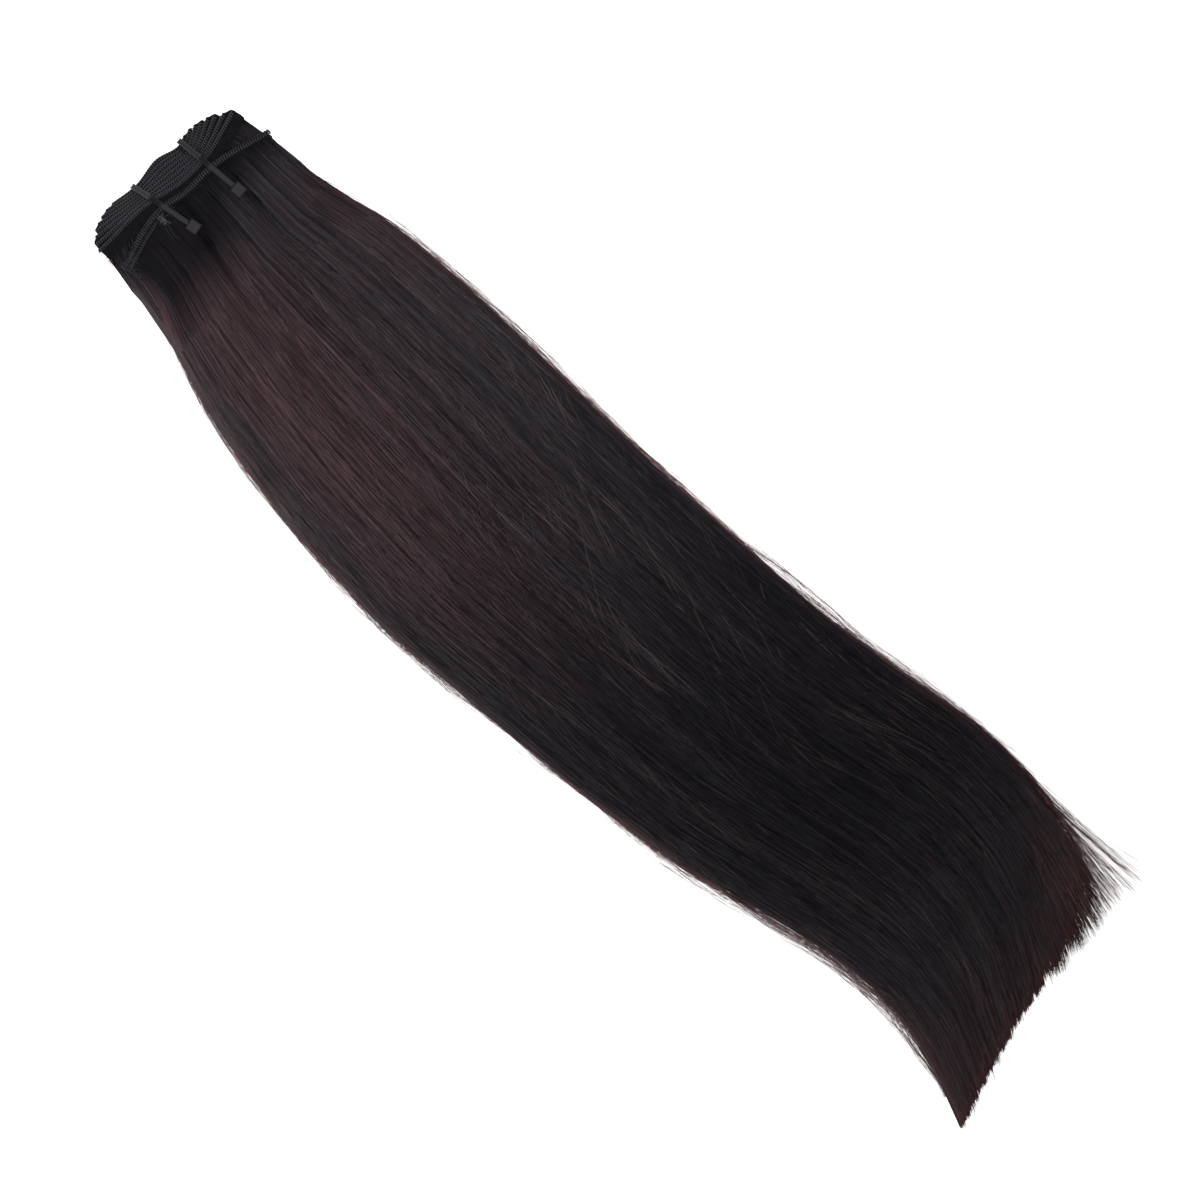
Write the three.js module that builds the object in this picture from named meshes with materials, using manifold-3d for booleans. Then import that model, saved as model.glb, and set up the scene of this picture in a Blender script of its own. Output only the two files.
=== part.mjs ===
// A bundle of straight hair on a machine-sewn weft, lying on its back on a flat surface.
// One long strip of weft is folded back and forth into a stack, a short strip lies in front of
// it, and two cable ties hold them together.
// Units are millimetres, +Z is up. The weft is at the +Y end and the hair falls towards -Y.
// "Fall" is the distance along the hair from about the hem of the front layer of weft.
// "Back" is the distance the other way, to the sewn edges of the layers.
import * as THREE from "three";
import { mergeVertices } from "three/addons/utils/BufferGeometryUtils.js";
import Module from "manifold-3d";

const wasm = await Module();
wasm.setup();

// Driving dimensions
const HEM_Y = 247.5;
const CLEARANCE = 0.35;

const TRACK = { height: 6.5, thickness: 1.9, hem: 1.3, edge: 1.1, edgeRound: 0.4, stitched: 4.6 };
const STACK = { base: 1.4, pitch: 2.575 };
// How far back the sewn edges lie at the two ties and between them: that of the front layer, that
// of the uppermost layer behind it, and the step from each layer to the one below.
const STACK_BACK = {
  leftTie: { x: -8, front: 8.2, upper: 13.2, step: 1.5 },
  between: { x: 6, front: 5.4, upper: 9.7, step: 2.2 },
  rightTie: { x: 20, front: 5, upper: 9, step: 1.9 },
};

const STRAP = { width: 2.5, thickness: 1.1, seat: 0.85, outerRound: 1.5, innerRound: 0.6 };
const TIE_HEAD = { side: 4.7, height: 3.3, round: 0.8, bevel: 0.35 };
const TIE_STUB = 0.9;
const TIES = [
  { name: "cable_tie_left", x: -5, reach: 8.9, leanDegrees: 9.6, back: STACK_BACK.leftTie },
  { name: "cable_tie_right", x: 21, reach: 12, leanDegrees: 3.7, back: STACK_BACK.rightTie },
];

const HAIR = { roundness: 2.6, coreStart: 1.2, coreShort: 9, crossColumns: 13 };
const CUT = { fall: 504, slant: 20, turn: 0.4, rise: 4 };
const LOCK = { count: 11, spread: 0.93, overlap: 0.66, rise: 1.4, sink: 1, settle: 45, taper: 22 };

const HAIR_COLOUR = 0x1d1517;
const THREAD_COLOUR = 0x1b1a20;
const NYLON_COLOUR = 0x232228;

// A short table as a list of rows whose values go by column name.
function table(columns, rows) {
  return rows.map((row) => Object.fromEntries(columns.map((name, i) => [name, row[i]])));
}

// One row for each layer of weft, from the one on the surface to the front one.
// Each end is given by its place across the stack and how far back its sewn edge lies.
const LAYERS = table(
  ["leftX", "leftBack", "rightX", "rightBack"],
  [
    [-20.5, 25.8, 22.3, 23.4],
    [-24.3, 25.6, 25.9, 23.6],
    [-27.8, 24.8, 28.9, 22.9],
    [-31.0, 23.7, 31.9, 22.0],
    [-33.6, 22.2, 34.9, 20.8],
    [-35.8, 20.2, 38.0, 19.0],
    [-37.6, 17.7, 41.2, 16.6],
    [-39.2, 14.8, 44.6, 14.2],
    [-37.7, 2.6, 49.4, -2.7],
  ],
);

// One row for each section of the hair: its two edges, its height at the middle and at the
// edges, how soon it falls away towards them (the smaller, the squarer), the height of its
// underside, and how far the edges of that underside lie inside those of its top.
const SECTIONS = table(
  ["fall", "left", "right", "crown", "rim", "slack", "base", "tuck"],
  [
    [8, -43, 48.5, 21.3, 15, 0.3, 1.5, 20],
    [18, -44, 49.5, 20.4, 10.5, 0.36, 1.5, 15],
    [35, -48, 50.5, 18.4, 6.5, 0.46, 0, 9],
    [65, -58, 57, 16, 4, 0.56, 0, 3.5],
    [100, -66, 60, 14.6, 2.8, 0.6, 0, 1.5],
    [145, -72, 60.5, 13.8, 2.6, 0.62, 0, 1],
    [190, -74.5, 60, 13.2, 2.6, 0.62, 0, 1],
    [240, -71.9, 60, 12.8, 2.6, 0.62, 0, 1],
    [295, -67.6, 61.6, 12.2, 2.6, 0.62, 0, 1],
    [350, -61.6, 65.5, 11.6, 2.6, 0.62, 0, 1],
    [400, -52.2, 73, 11, 2.6, 0.62, 0, 1],
    [435, -45.6, 74.5, 10.4, 2.6, 0.62, 0, 1],
    [470, -43.5, 70.2, 9.6, 2.6, 0.62, 0, 1],
    [500, -49, 63, 8.6, 2.6, 0.62, 0, 1],
    [526, -60, 55, 7.4, 2.6, 0.62, 0, 1],
  ],
);
// How much longer or shorter than the trimmed line each lock is, from left to right.
const LOCK_ENDS = [0, -3, 1.5, -2, 2, -1, 2.5, -2.5, 1, -1.5, 3];

const { lerp, clamp, smoothstep, degToRad } = THREE.MathUtils;

// Value of a table's column at a distance down the fall, on a smooth curve through its rows.
function along(column, fall) {
  const rows = SECTIONS;
  const next = clamp(rows.findIndex((row) => row.fall > fall), 1, rows.length - 1);
  const i = fall >= rows.at(-1).fall ? rows.length - 2 : next - 1;
  const slopeAt = (at) => {
    const [a, b] = [rows[Math.max(at - 1, 0)], rows[Math.min(at + 1, rows.length - 1)]];
    return (b[column] - a[column]) / (b.fall - a.fall);
  };
  const span = rows[i + 1].fall - rows[i].fall;
  const t = clamp((fall - rows[i].fall) / span, 0, 1);
  const [t2, t3] = [t * t, t * t * t];
  return (
    (2 * t3 - 3 * t2 + 1) * rows[i][column] +
    (t3 - 2 * t2 + t) * span * slopeAt(i) +
    (3 * t2 - 2 * t3) * rows[i + 1][column] +
    (t3 - t2) * span * slopeAt(i + 1)
  );
}

// Closed mesh through rings of equally many points. A ring runs over its upper side and back
// along its lower side, so each end is closed by rungs from one side to the other.
function loft(rings) {
  const count = rings[0].length;
  const last = (rings.length - 1) * count;
  const triangles = [];
  for (let row = 0; row < rings.length - 1; row += 1) {
    for (let i = 0; i < count; i += 1) {
      const [a, b] = [row * count + i, row * count + ((i + 1) % count)];
      triangles.push(a, b, b + count, a, b + count, a + count);
    }
  }
  for (let i = 0; i < count / 2 - 1; i += 1) {
    const [a, b, c, d] = [i, i + 1, count - 2 - i, count - 1 - i];
    triangles.push(a, c, b, a, d, c);
    triangles.push(last + a, last + b, last + c, last + a, last + c, last + d);
  }
  const geometry = new THREE.BufferGeometry().setFromPoints(rings.flat());
  geometry.setIndex(triangles);
  return geometry;
}

// three.js geometry to solid and back, for joining and cutting.
function toSolid(geometry) {
  const bare = geometry.clone();
  bare.deleteAttribute("normal");
  bare.deleteAttribute("uv");
  const merged = mergeVertices(bare, 1e-4);
  return new wasm.Manifold(
    new wasm.Mesh({
      numProp: 3,
      vertProperties: new Float32Array(merged.attributes.position.array),
      triVerts: new Uint32Array(merged.index.array),
    }),
  );
}

function toGeometry(solid) {
  const { vertProperties, triVerts } = solid.getMesh();
  const geometry = new THREE.BufferGeometry();
  geometry.setAttribute("position", new THREE.BufferAttribute(vertProperties, 3));
  geometry.setIndex(new THREE.BufferAttribute(triVerts, 1));
  geometry.computeVertexNormals();
  return geometry;
}

// Weft: sewn edge of each layer in plan, as a curve from its left end to its right end
const FRONT = LAYERS.length - 1;
const layerZ = (layer) => STACK.base + TRACK.thickness / 2 + layer * STACK.pitch;

function backAt({ front, upper, step }, layer) {
  return layer === FRONT ? front : upper + step * (FRONT - 1 - layer);
}

const layerEdges = LAYERS.map(({ leftX, leftBack, rightX, rightBack }, layer) => {
  const edgePoint = (x, back) => new THREE.Vector3(x, HEM_Y + back, layerZ(layer));
  const inner = Object.values(STACK_BACK).map((place) => edgePoint(place.x, backAt(place, layer)));
  const points = [edgePoint(leftX, leftBack), ...inner, edgePoint(rightX, rightBack)];
  return new THREE.CatmullRomCurve3(points, false, "chordal");
});

// Where the sewn edge is at a share of a layer's length, and which way the hair leaves it there.
// A quarter of it is the left tie on every layer, and three quarters the right tie.
function weftAt(layer, share) {
  const tangent = layerEdges[layer].getTangent(share);
  return {
    edge: layerEdges[layer].getPoint(share),
    down: new THREE.Vector3(tangent.y, -tangent.x, 0),
  };
}

// Section of the track: height from the sewn edge, and half its thickness there.
const TRACK_PROFILE = [
  [0, TRACK.edge / 2],
  [TRACK.edgeRound, TRACK.thickness / 2],
  [TRACK.stitched, TRACK.thickness / 2],
  [TRACK.height, TRACK.hem / 2],
];

function trackRing(edge, down, face) {
  const corner = (height, thickness) =>
    edge.clone().addScaledVector(down, height).addScaledVector(face, thickness);
  const front = TRACK_PROFILE.map(([height, half]) => corner(height, half));
  const rear = TRACK_PROFILE.map(([height, half]) => corner(height, -half)).reverse();
  return [...front, ...rear];
}

// One strip of weft, folded at the right after every even layer and at the left after the others.
function makeWeft(firstLayer, lastLayer) {
  const STEPS_ALONG = 12;
  const STEPS_ROUND = 5;
  const rings = [];
  for (let layer = firstLayer; layer <= lastLayer; layer += 1) {
    const toRight = layer % 2 === 0;
    const up = new THREE.Vector3(0, 0, toRight ? 1 : -1);
    for (let step = 0; step <= STEPS_ALONG; step += 1) {
      const share = toRight ? step / STEPS_ALONG : 1 - step / STEPS_ALONG;
      const { edge, down } = weftAt(layer, share);
      rings.push(trackRing(edge, down, up));
    }
    if (layer === lastLayer) break;
    const end = toRight ? 1 : 0;
    const outward = new THREE.Vector3(toRight ? 1 : -1, 0, 0);
    const [here, above] = [weftAt(layer, end), weftAt(layer + 1, end)];
    for (let step = 1; step < STEPS_ROUND; step += 1) {
      const share = step / STEPS_ROUND;
      const turn = share * Math.PI;
      const edge = here.edge.clone().lerp(above.edge, share);
      edge.z = layerZ(layer) + (STACK.pitch / 2) * (1 - Math.cos(turn));
      edge.addScaledVector(outward, (STACK.pitch / 2) * Math.sin(turn));
      const down = here.down.clone().lerp(above.down, share).normalize();
      const face = up.clone().multiplyScalar(Math.cos(turn));
      face.addScaledVector(outward, -Math.sin(turn) * (toRight ? 1 : -1));
      rings.push(trackRing(edge, down, face));
    }
  }
  return loft(rings);
}

// Cable tie: a strap round the stack, with its head on the hair below the track.
// Its outline is drawn with the fall along x and the height along y.
function offsetOutline(corners, distance) {
  return corners.map((corner, i) => {
    const before = corners[(i + corners.length - 1) % corners.length];
    const after = corners[(i + 1) % corners.length];
    const into = corner.clone().sub(before).normalize();
    const out = after.clone().sub(corner).normalize();
    const mitre = new THREE.Vector2(into.y + out.y, -into.x - out.x);
    return corner.clone().addScaledVector(mitre, distance / (1 + into.dot(out)));
  });
}

function roundOutline(path, corners, radius) {
  corners.forEach((corner, i) => {
    const before = corners[(i + corners.length - 1) % corners.length];
    const after = corners[(i + 1) % corners.length];
    const towards = (end) => corner.clone().add(end.clone().sub(corner).setLength(radius));
    const [start, finish] = [towards(before), towards(after)];
    if (i === 0) path.moveTo(start.x, start.y);
    else path.lineTo(start.x, start.y);
    path.quadraticCurveTo(corner.x, corner.y, finish.x, finish.y);
  });
  path.closePath();
  return path;
}

// The loop's inner corners: up through the hair, over the front layer, down the stepped edges
// of the layers behind it, and back underneath, a little clear of them all.
function strapCorners({ reach, back }) {
  const overEdge = (layer) =>
    new THREE.Vector2(-backAt(back, layer), layerZ(layer) + TRACK.thickness / 2);
  const front = reach - STRAP.thickness / 2 - STRAP.seat;
  const under = STRAP.thickness + STRAP.seat;
  const touched = [
    new THREE.Vector2(front, under),
    new THREE.Vector2(front, overEdge(FRONT).y),
    ...[FRONT, FRONT - 1, 0].map(overEdge),
    new THREE.Vector2(-backAt(back, 0), under),
  ];
  return offsetOutline(touched, STRAP.seat);
}

// The tie as one moulded solid. "Grow" gives the room that it needs in the hair.
function makeTie(tie, grow = 0) {
  const { reach } = tie;
  const inner = strapCorners(tie);
  const outside = offsetOutline(inner, STRAP.thickness + grow);
  const inside = offsetOutline(inner, -grow).reverse();
  const shape = roundOutline(new THREE.Shape(), outside, STRAP.outerRound);
  shape.holes.push(roundOutline(new THREE.Path(), inside, STRAP.innerRound));
  const width = STRAP.width + 2 * grow;
  const strap = new THREE.ExtrudeGeometry(shape, { depth: width, bevelEnabled: false, curveSegments: 3 });
  strap.translate(0, 0, -width / 2);

  const side = TIE_HEAD.side / 2 + grow - TIE_HEAD.bevel;
  const outline = [[-side, -side], [side, -side], [side, side], [-side, side]];
  const headCorners = outline.map(([x, y]) => new THREE.Vector2(x, y));
  const head = new THREE.ExtrudeGeometry(roundOutline(new THREE.Shape(), headCorners, TIE_HEAD.round), {
    depth: TIE_HEAD.height + 2 * grow - 2 * TIE_HEAD.bevel,
    bevelSize: TIE_HEAD.bevel,
    bevelThickness: TIE_HEAD.bevel,
    bevelSegments: 1,
    curveSegments: 2,
  });
  const seat = inner[1].y - grow;
  head.translate(0, 0, TIE_HEAD.bevel).rotateX(-Math.PI / 2).translate(reach, seat, 0);

  const stub = new THREE.BoxGeometry(STRAP.thickness, TIE_STUB * 2, STRAP.width);
  stub.translate(reach, seat + TIE_HEAD.height, 0);

  const solid = toSolid(strap).add(toSolid(head)).add(toSolid(stub));
  const fallToMinusY = new THREE.Matrix4().makeBasis(
    new THREE.Vector3(0, -1, 0),
    new THREE.Vector3(0, 0, 1),
    new THREE.Vector3(-1, 0, 0),
  );
  return toGeometry(solid).applyMatrix4(fallToMinusY);
}

function placeTie(object, { x, leanDegrees }) {
  object.position.set(x, HEM_Y, 0);
  object.rotation.z = degToRad(leanDegrees);
  object.updateMatrix();
  return object;
}

// Hair: "across" runs from -1 at the left edge to 1 at the right edge.
const across = (column) => lerp(1, -1, column / (HAIR.crossColumns - 1));
const hairX = (fall, share, tuck = 0) => {
  const [left, right] = [along("left", fall) + tuck, along("right", fall) - tuck];
  return lerp(left, right, (share + 1) / 2);
};

function hairTop(fall, share) {
  const round = Math.max(0, 1 - Math.abs(share) ** HAIR.roundness) ** along("slack", fall);
  return lerp(along("rim", fall), along("crown", fall), round);
}

// The trimmed line of the ends, which is longest at the left edge.
function cutFall(share) {
  const slanted = CUT.slant * (Math.max(0, CUT.turn - share) / (1 + CUT.turn)) ** 1.3;
  const lifted = CUT.rise * (Math.max(0, share - CUT.turn) / (1 - CUT.turn)) ** 2;
  return CUT.fall + slanted + lifted;
}

// The mass of hair from the layers behind the front one. It starts at the lower edges of the
// stacked tracks and ends a little short of the trimmed line.
function rootPoint(layer, share, gap) {
  const { edge, down } = weftAt(layer, (share + 1) / 2);
  return edge.addScaledVector(down, TRACK.height + gap);
}

function makeHairCore() {
  const columns = Array.from({ length: HAIR.crossColumns }, (_, column) => across(column));
  const root = [
    ...columns.map((share) => rootPoint(FRONT - 1, share, HAIR.coreStart)),
    ...columns.map((share) => rootPoint(0, share, HAIR.coreStart)).reverse(),
  ];
  const rowAt = (fall) => {
    const fallAt = (share) => Math.min(fall, cutFall(share) - HAIR.coreShort);
    const point = (share, tuck, z) =>
      new THREE.Vector3(hairX(fallAt(share), share, tuck), HEM_Y - fallAt(share), z);
    const upper = columns.map((share) => point(share, 0, hairTop(fallAt(share), share)));
    const [tuck, base] = [along("tuck", fall), along("base", fall)];
    const lower = columns.map((share) => point(share, tuck, base));
    return [...upper, ...lower.reverse()];
  };
  const falls = SECTIONS.slice(0, -2).map((row) => row.fall);
  return loft([root, ...falls.map(rowAt), rowAt(SECTIONS.at(-1).fall)]);
}

// A lock of the front layer's hair. It leaves the front track, settles on the mass and ends
// in a point at the trimmed line.
const LOCK_SECTION = [
  [1, 0.35],
  [0.5, 1],
  [-0.5, 1],
  [-1, 0.35],
];

function makeLock(index) {
  const middle = lerp(-LOCK.spread, LOCK.spread, (index + 0.5) / LOCK.count);
  const halfWidth = (LOCK.spread / LOCK.count) * LOCK.overlap * 2;
  const end = cutFall(middle) + LOCK_ENDS[index];
  const rootTop = layerZ(FRONT) + TRACK.hem / 2;
  const falls = SECTIONS.slice(1).map((row) => row.fall).filter((fall) => fall < end - LOCK.taper);
  const rings = [0, ...falls, end - LOCK.taper, end].map((fall) => {
    const thin = fall === end ? 0.3 : 1;
    const settled = smoothstep(fall, 0, LOCK.settle);
    const point = (side, lift) => {
      const share = clamp(middle + side * halfWidth * thin, -0.999, 0.999);
      const surface = hairTop(fall, share);
      const top = lerp(rootTop, surface + LOCK.rise * thin, settled);
      const floor = Math.max(surface - LOCK.sink, along("base", fall) + 0.4);
      const place = new THREE.Vector3(hairX(fall, share), HEM_Y - fall);
      if (fall === 0) place.copy(rootPoint(FRONT, share, CLEARANCE));
      return place.setZ(lerp(floor, top, lift));
    };
    const upper = LOCK_SECTION.map(([side, lift]) => point(side, lift));
    const lower = LOCK_SECTION.map(([side]) => point(side, 0)).reverse();
    return [...upper, ...lower];
  });
  return loft(rings);
}

function makeHair(tieRooms) {
  const locks = Array.from({ length: LOCK.count }, (_, index) => toSolid(makeLock(index)));
  const mass = locks.reduce((joined, lock) => joined.add(lock), toSolid(makeHairCore()));
  return toGeometry(tieRooms.reduce((left, room) => left.subtract(room), mass));
}

// Assembly
const FINISHES = {
  hair: { color: HAIR_COLOUR, roughness: 0.45 },
  thread: { color: THREAD_COLOUR, roughness: 0.8 },
  nylon: { color: NYLON_COLOUR, roughness: 0.4 },
};

const bundle = new THREE.Group();
bundle.name = "hair_bundle";
const weft = new THREE.Group();
weft.name = "weft";
const ties = new THREE.Group();
ties.name = "ties";
bundle.add(weft, ties);

function addPiece(group, name, geometry, finish) {
  const mesh = new THREE.Mesh(geometry, new THREE.MeshStandardMaterial(FINISHES[finish]));
  mesh.name = name;
  group.add(mesh);
  return mesh;
}

const tieRooms = TIES.map((tie) => {
  const room = placeTie(new THREE.Object3D(), tie);
  return toSolid(makeTie(tie, CLEARANCE).applyMatrix4(room.matrix));
});

addPiece(weft, "weft_stack", makeWeft(0, FRONT - 1), "thread");
addPiece(weft, "weft_front", makeWeft(FRONT, FRONT), "thread");
addPiece(bundle, "hair_fall", makeHair(tieRooms), "hair");
TIES.forEach((tie) => placeTie(addPiece(ties, tie.name, makeTie(tie), "nylon"), tie));

export default bundle;
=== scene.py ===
# %% [markdown]
# # A bundle of straight hair on a sewn weft
# A hair extension bundle is a long strip of hair whose roots a machine has sewn into a narrow track,
# the weft. The track is folded back and forth into a stack, a last strip of it lies in front, and two
# small cable ties go through the hair and round the stack. The bundle lies on its back on a white
# surface, and the camera looks straight down on it.
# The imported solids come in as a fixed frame. This lesson dresses them: the mass of hair gets its strands,
# the tracks get their sewing, and the ties get the details of a moulded strap.

import math

import bmesh
import bpy
import numpy as np
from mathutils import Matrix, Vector


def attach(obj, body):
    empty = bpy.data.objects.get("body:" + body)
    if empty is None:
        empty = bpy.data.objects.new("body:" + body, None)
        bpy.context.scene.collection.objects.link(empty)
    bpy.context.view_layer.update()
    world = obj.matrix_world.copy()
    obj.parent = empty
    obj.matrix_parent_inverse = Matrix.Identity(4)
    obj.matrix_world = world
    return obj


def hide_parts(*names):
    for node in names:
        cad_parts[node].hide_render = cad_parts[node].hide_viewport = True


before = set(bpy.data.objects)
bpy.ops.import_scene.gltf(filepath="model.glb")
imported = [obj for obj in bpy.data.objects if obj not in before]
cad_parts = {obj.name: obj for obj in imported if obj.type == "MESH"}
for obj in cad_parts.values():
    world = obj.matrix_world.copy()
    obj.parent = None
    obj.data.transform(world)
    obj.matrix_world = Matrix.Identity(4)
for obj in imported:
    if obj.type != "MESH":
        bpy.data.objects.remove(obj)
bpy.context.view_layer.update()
MM = 0.001
print("solids:", ", ".join(sorted(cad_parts)))

# %% [markdown]
# ## Where things are
# The same few measured tables that drive the solids drive the strands too, so that hair and solid
# can't drift apart. All lengths here are millimetres. "Fall" is the distance along the hair from about the
# hem of the front strip, "back" is the distance the other way, and "share" runs from -1 at the left edge
# of the hair to 1 at its right edge.

# %% Sections of the hair
HEM_Y = 247.5
SECTION_COLUMNS = ("fall", "left", "right", "crown", "rim", "slack", "base", "tuck")
SECTION_ROWS = [
    (8, -43, 48.5, 21.3, 15, 0.3, 1.5, 20),
    (18, -44, 49.5, 20.4, 10.5, 0.36, 1.5, 15),
    (35, -48, 50.5, 18.4, 6.5, 0.46, 0, 9),
    (65, -58, 57, 16, 4, 0.56, 0, 3.5),
    (100, -66, 60, 14.6, 2.8, 0.6, 0, 1.5),
    (145, -72, 60.5, 13.8, 2.6, 0.62, 0, 1),
    (190, -74.5, 60, 13.2, 2.6, 0.62, 0, 1),
    (240, -71.9, 60, 12.8, 2.6, 0.62, 0, 1),
    (295, -67.6, 61.6, 12.2, 2.6, 0.62, 0, 1),
    (350, -61.6, 65.5, 11.6, 2.6, 0.62, 0, 1),
    (400, -52.2, 73, 11, 2.6, 0.62, 0, 1),
    (435, -45.6, 74.5, 10.4, 2.6, 0.62, 0, 1),
    (470, -43.5, 70.2, 9.6, 2.6, 0.62, 0, 1),
    (500, -49, 63, 8.6, 2.6, 0.62, 0, 1),
    (526, -60, 55, 7.4, 2.6, 0.62, 0, 1),
]
SECTION = dict(zip(SECTION_COLUMNS, np.array(SECTION_ROWS, float).T))
FIRST_FALL = SECTION_ROWS[0][0]


def hermite(t, first, last, leaving, arriving):
    """Values from first to last as t goes from 0 to 1, with the slope given at both ends."""
    start = (1 + 2 * t) * (1 - t) ** 2 * first + t * (1 - t) ** 2 * leaving
    return start + t * t * (3 - 2 * t) * last - t * t * (1 - t) * arriving


def along(column, fall):
    """A column's value at a fall, on the smooth curve through the table's rows."""
    knots, values = SECTION["fall"], SECTION[column]
    rows = np.arange(len(knots))
    before, after = np.maximum(rows - 1, 0), np.minimum(rows + 1, len(knots) - 1)
    slopes = (values[after] - values[before]) / (knots[after] - knots[before])
    i = np.clip(np.searchsorted(knots, fall, side="right") - 1, 0, len(knots) - 2)
    span = knots[i + 1] - knots[i]
    t = np.clip((fall - knots[i]) / span, 0, 1)
    return hermite(t, values[i], values[i + 1], span * slopes[i], span * slopes[i + 1])


print("sections:", len(SECTION_ROWS), "from fall", FIRST_FALL, "to", SECTION_ROWS[-1][0])

# %% [markdown]
# ## How the hair lies
# Combed hair keeps its order from the weft to the ends, so a strand keeps its share nearly all the way.
# Near the ends three things change that: the hair turns to the left, both edges thin out into a fringe,
# and the ends are cut along a slanted line. Each is one short function of fall and share.

# %% Turn, fringe and cut
TURN, TURN_FALL, TURN_LENGTH = 0.24, 430, 80
CUT = {"fall": 504, "slant": 20, "turn": 0.4, "rise": 4}
# Falls where the fringe of an edge starts, is full, fades and is gone.
FRINGES = {"left": (330, 420, 475, 505), "right": (410, 465, 490, 515)}
LEFT_DRAW, RIGHT_DRAW = 0.021, 0.02


def ease(value, low, high):
    """A smooth step from 0 at low to 1 at high."""
    t = np.clip((value - low) / (high - low), 0, 1)
    return t * t * (3 - 2 * t)


def swept(fall, share):
    """Shares after the turn to the left, which is least along the edges, so the right corner fans out."""
    turn = TURN * np.maximum(0, (fall - TURN_FALL) / TURN_LENGTH) ** 2
    return share - turn * (1 - share**2) * (1 + 0.8 * share)


def hair_x(fall, share, tuck=0.0):
    """Where a share lies across the part, with both edges drawn in by a tuck."""
    left = along("left", fall) + tuck
    right = along("right", fall) - tuck
    return left + (right - left) * (swept(fall, share) + 1) / 2


def fringed(fall, side):
    """How much an edge, -1 for the left one and 1 for the right one, thins out into a fringe."""
    left, right = (
        ease(fall, start, full) * (1 - ease(fall, fades, gone))
        for start, full, fades, gone in FRINGES.values()
    )
    return np.where(np.asarray(side) < 0, left, right)


def drawn_in(fall, share):
    """Shares of the dense hair, which draws in a little above the ends and leaves the fringe."""
    left = LEFT_DRAW * fringed(fall, -1) * (1 - share)
    right = RIGHT_DRAW * fringed(fall, 1) * (1 + share)
    return share + left - right


def trimmed_fall(share):
    """The line the ends are cut to, longest at the left edge."""
    slanted = CUT["slant"] * (np.maximum(0, CUT["turn"] - share) / (1 + CUT["turn"])) ** 1.3
    lifted = CUT["rise"] * (np.maximum(0, share - CUT["turn"]) / (1 - CUT["turn"])) ** 2
    return CUT["fall"] + slanted + lifted


print("hair is", round(float(hair_x(190, 1) - hair_x(190, -1))), "mm across at its widest")

# %% [markdown]
# ## The folded weft
# The track is folded back and forth into layers. The ties gather them, and their ends fan apart, so that
# each layer is a little longer than the one below. A row has both ends of a layer's sewn edge, from the
# lowest layer to the front strip. The edge is a smooth curve through those ends and three points that the
# ties set, and everything sewn on a layer follows that curve.

# %% Layers of the weft
LAYER_COLUMNS = ("left_x", "left_back", "right_x", "right_back")
LAYERS = [
    (-20.5, 25.8, 22.3, 23.4),
    (-24.3, 25.6, 25.9, 23.6),
    (-27.8, 24.8, 28.9, 22.9),
    (-31.0, 23.7, 31.9, 22.0),
    (-33.6, 22.2, 34.9, 20.8),
    (-35.8, 20.2, 38.0, 19.0),
    (-37.6, 17.7, 41.2, 16.6),
    (-39.2, 14.8, 44.6, 14.2),
    (-37.7, 2.6, 49.4, -2.7),
]
FRONT = len(LAYERS) - 1
TRACK_HEIGHT, TRACK_THICKNESS = 6.5, 1.9
STACK_LIFT, LAYER_STEP = 1.4, 2.575
# At the two ties and between them: x, how far back the sewn edge of the front layer lies, that of the
# uppermost layer behind it, and the step from each layer to the one below.
STACK_BACK = {
    "left_tie": (-8, 8.2, 13.2, 1.5),
    "between": (6, 5.4, 9.7, 2.2),
    "right_tie": (20, 5, 9, 1.9),
}


def layer_z(layer):
    """Height of the middle of a layer."""
    return STACK_LIFT + TRACK_THICKNESS / 2 + LAYER_STEP * layer


def back_at(place, layer):
    """How far back a layer's sewn edge lies at a tie or between them."""
    _, front, upper, step = STACK_BACK[place]
    return front if layer == FRONT else upper + step * (FRONT - 1 - layer)


def weft_edge(layer, count=81):
    """Points on a layer's sewn edge from left to right, and the way the hair leaves each."""
    row = dict(zip(LAYER_COLUMNS, LAYERS[layer]))
    inner = [(values[0], back_at(place, layer)) for place, values in STACK_BACK.items()]
    knots = np.array([(row["left_x"], row["left_back"]), *inner, (row["right_x"], row["right_back"])])
    spans = len(knots) - 1
    knots = np.vstack([2 * knots[0] - knots[1], knots, 2 * knots[-1] - knots[-2]])
    place = np.linspace(0, spans, count)
    i = np.minimum(place.astype(int), spans - 1)
    p0, p1, p2, p3 = (knots[i + step] for step in range(4))
    pairs = ((p0, p1), (p1, p2), (p2, p3))
    d0, d1, d2 = (np.linalg.norm(b - a, axis=1)[:, None] for a, b in pairs)
    m1 = d1 * ((p1 - p0) / d0 - (p2 - p0) / (d0 + d1) + (p2 - p1) / d1)
    m2 = d1 * ((p2 - p1) / d1 - (p3 - p1) / (d1 + d2) + (p3 - p2) / d2)
    plan = hermite((place - i)[:, None], p1, p2, m1, m2)
    run = np.gradient(plan, axis=0)
    run /= np.linalg.norm(run, axis=1)[:, None]
    flat = np.full((count, 1), 1.0)
    edge = np.hstack([plan[:, :1], HEM_Y + plan[:, 1:], flat * layer_z(layer)])
    down = np.hstack([run[:, 1:], -run[:, :1], flat * 0])
    return edge, down


def weft_point(layer, share, height, lift=0.0):
    """Points at a height below the sewn edge, for shares from -1 at the left end to 1 at the right."""
    edge, down = weft_edge(layer)
    steps = np.linspace(-1, 1, len(edge))
    sewn = np.stack([np.interp(share, steps, edge[:, axis]) for axis in range(3)], axis=-1)
    away = np.stack([np.interp(share, steps, down[:, axis]) for axis in range(3)], axis=-1)
    return sewn + away * np.asarray(height)[..., None] + np.array([0, 0, lift])


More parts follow.
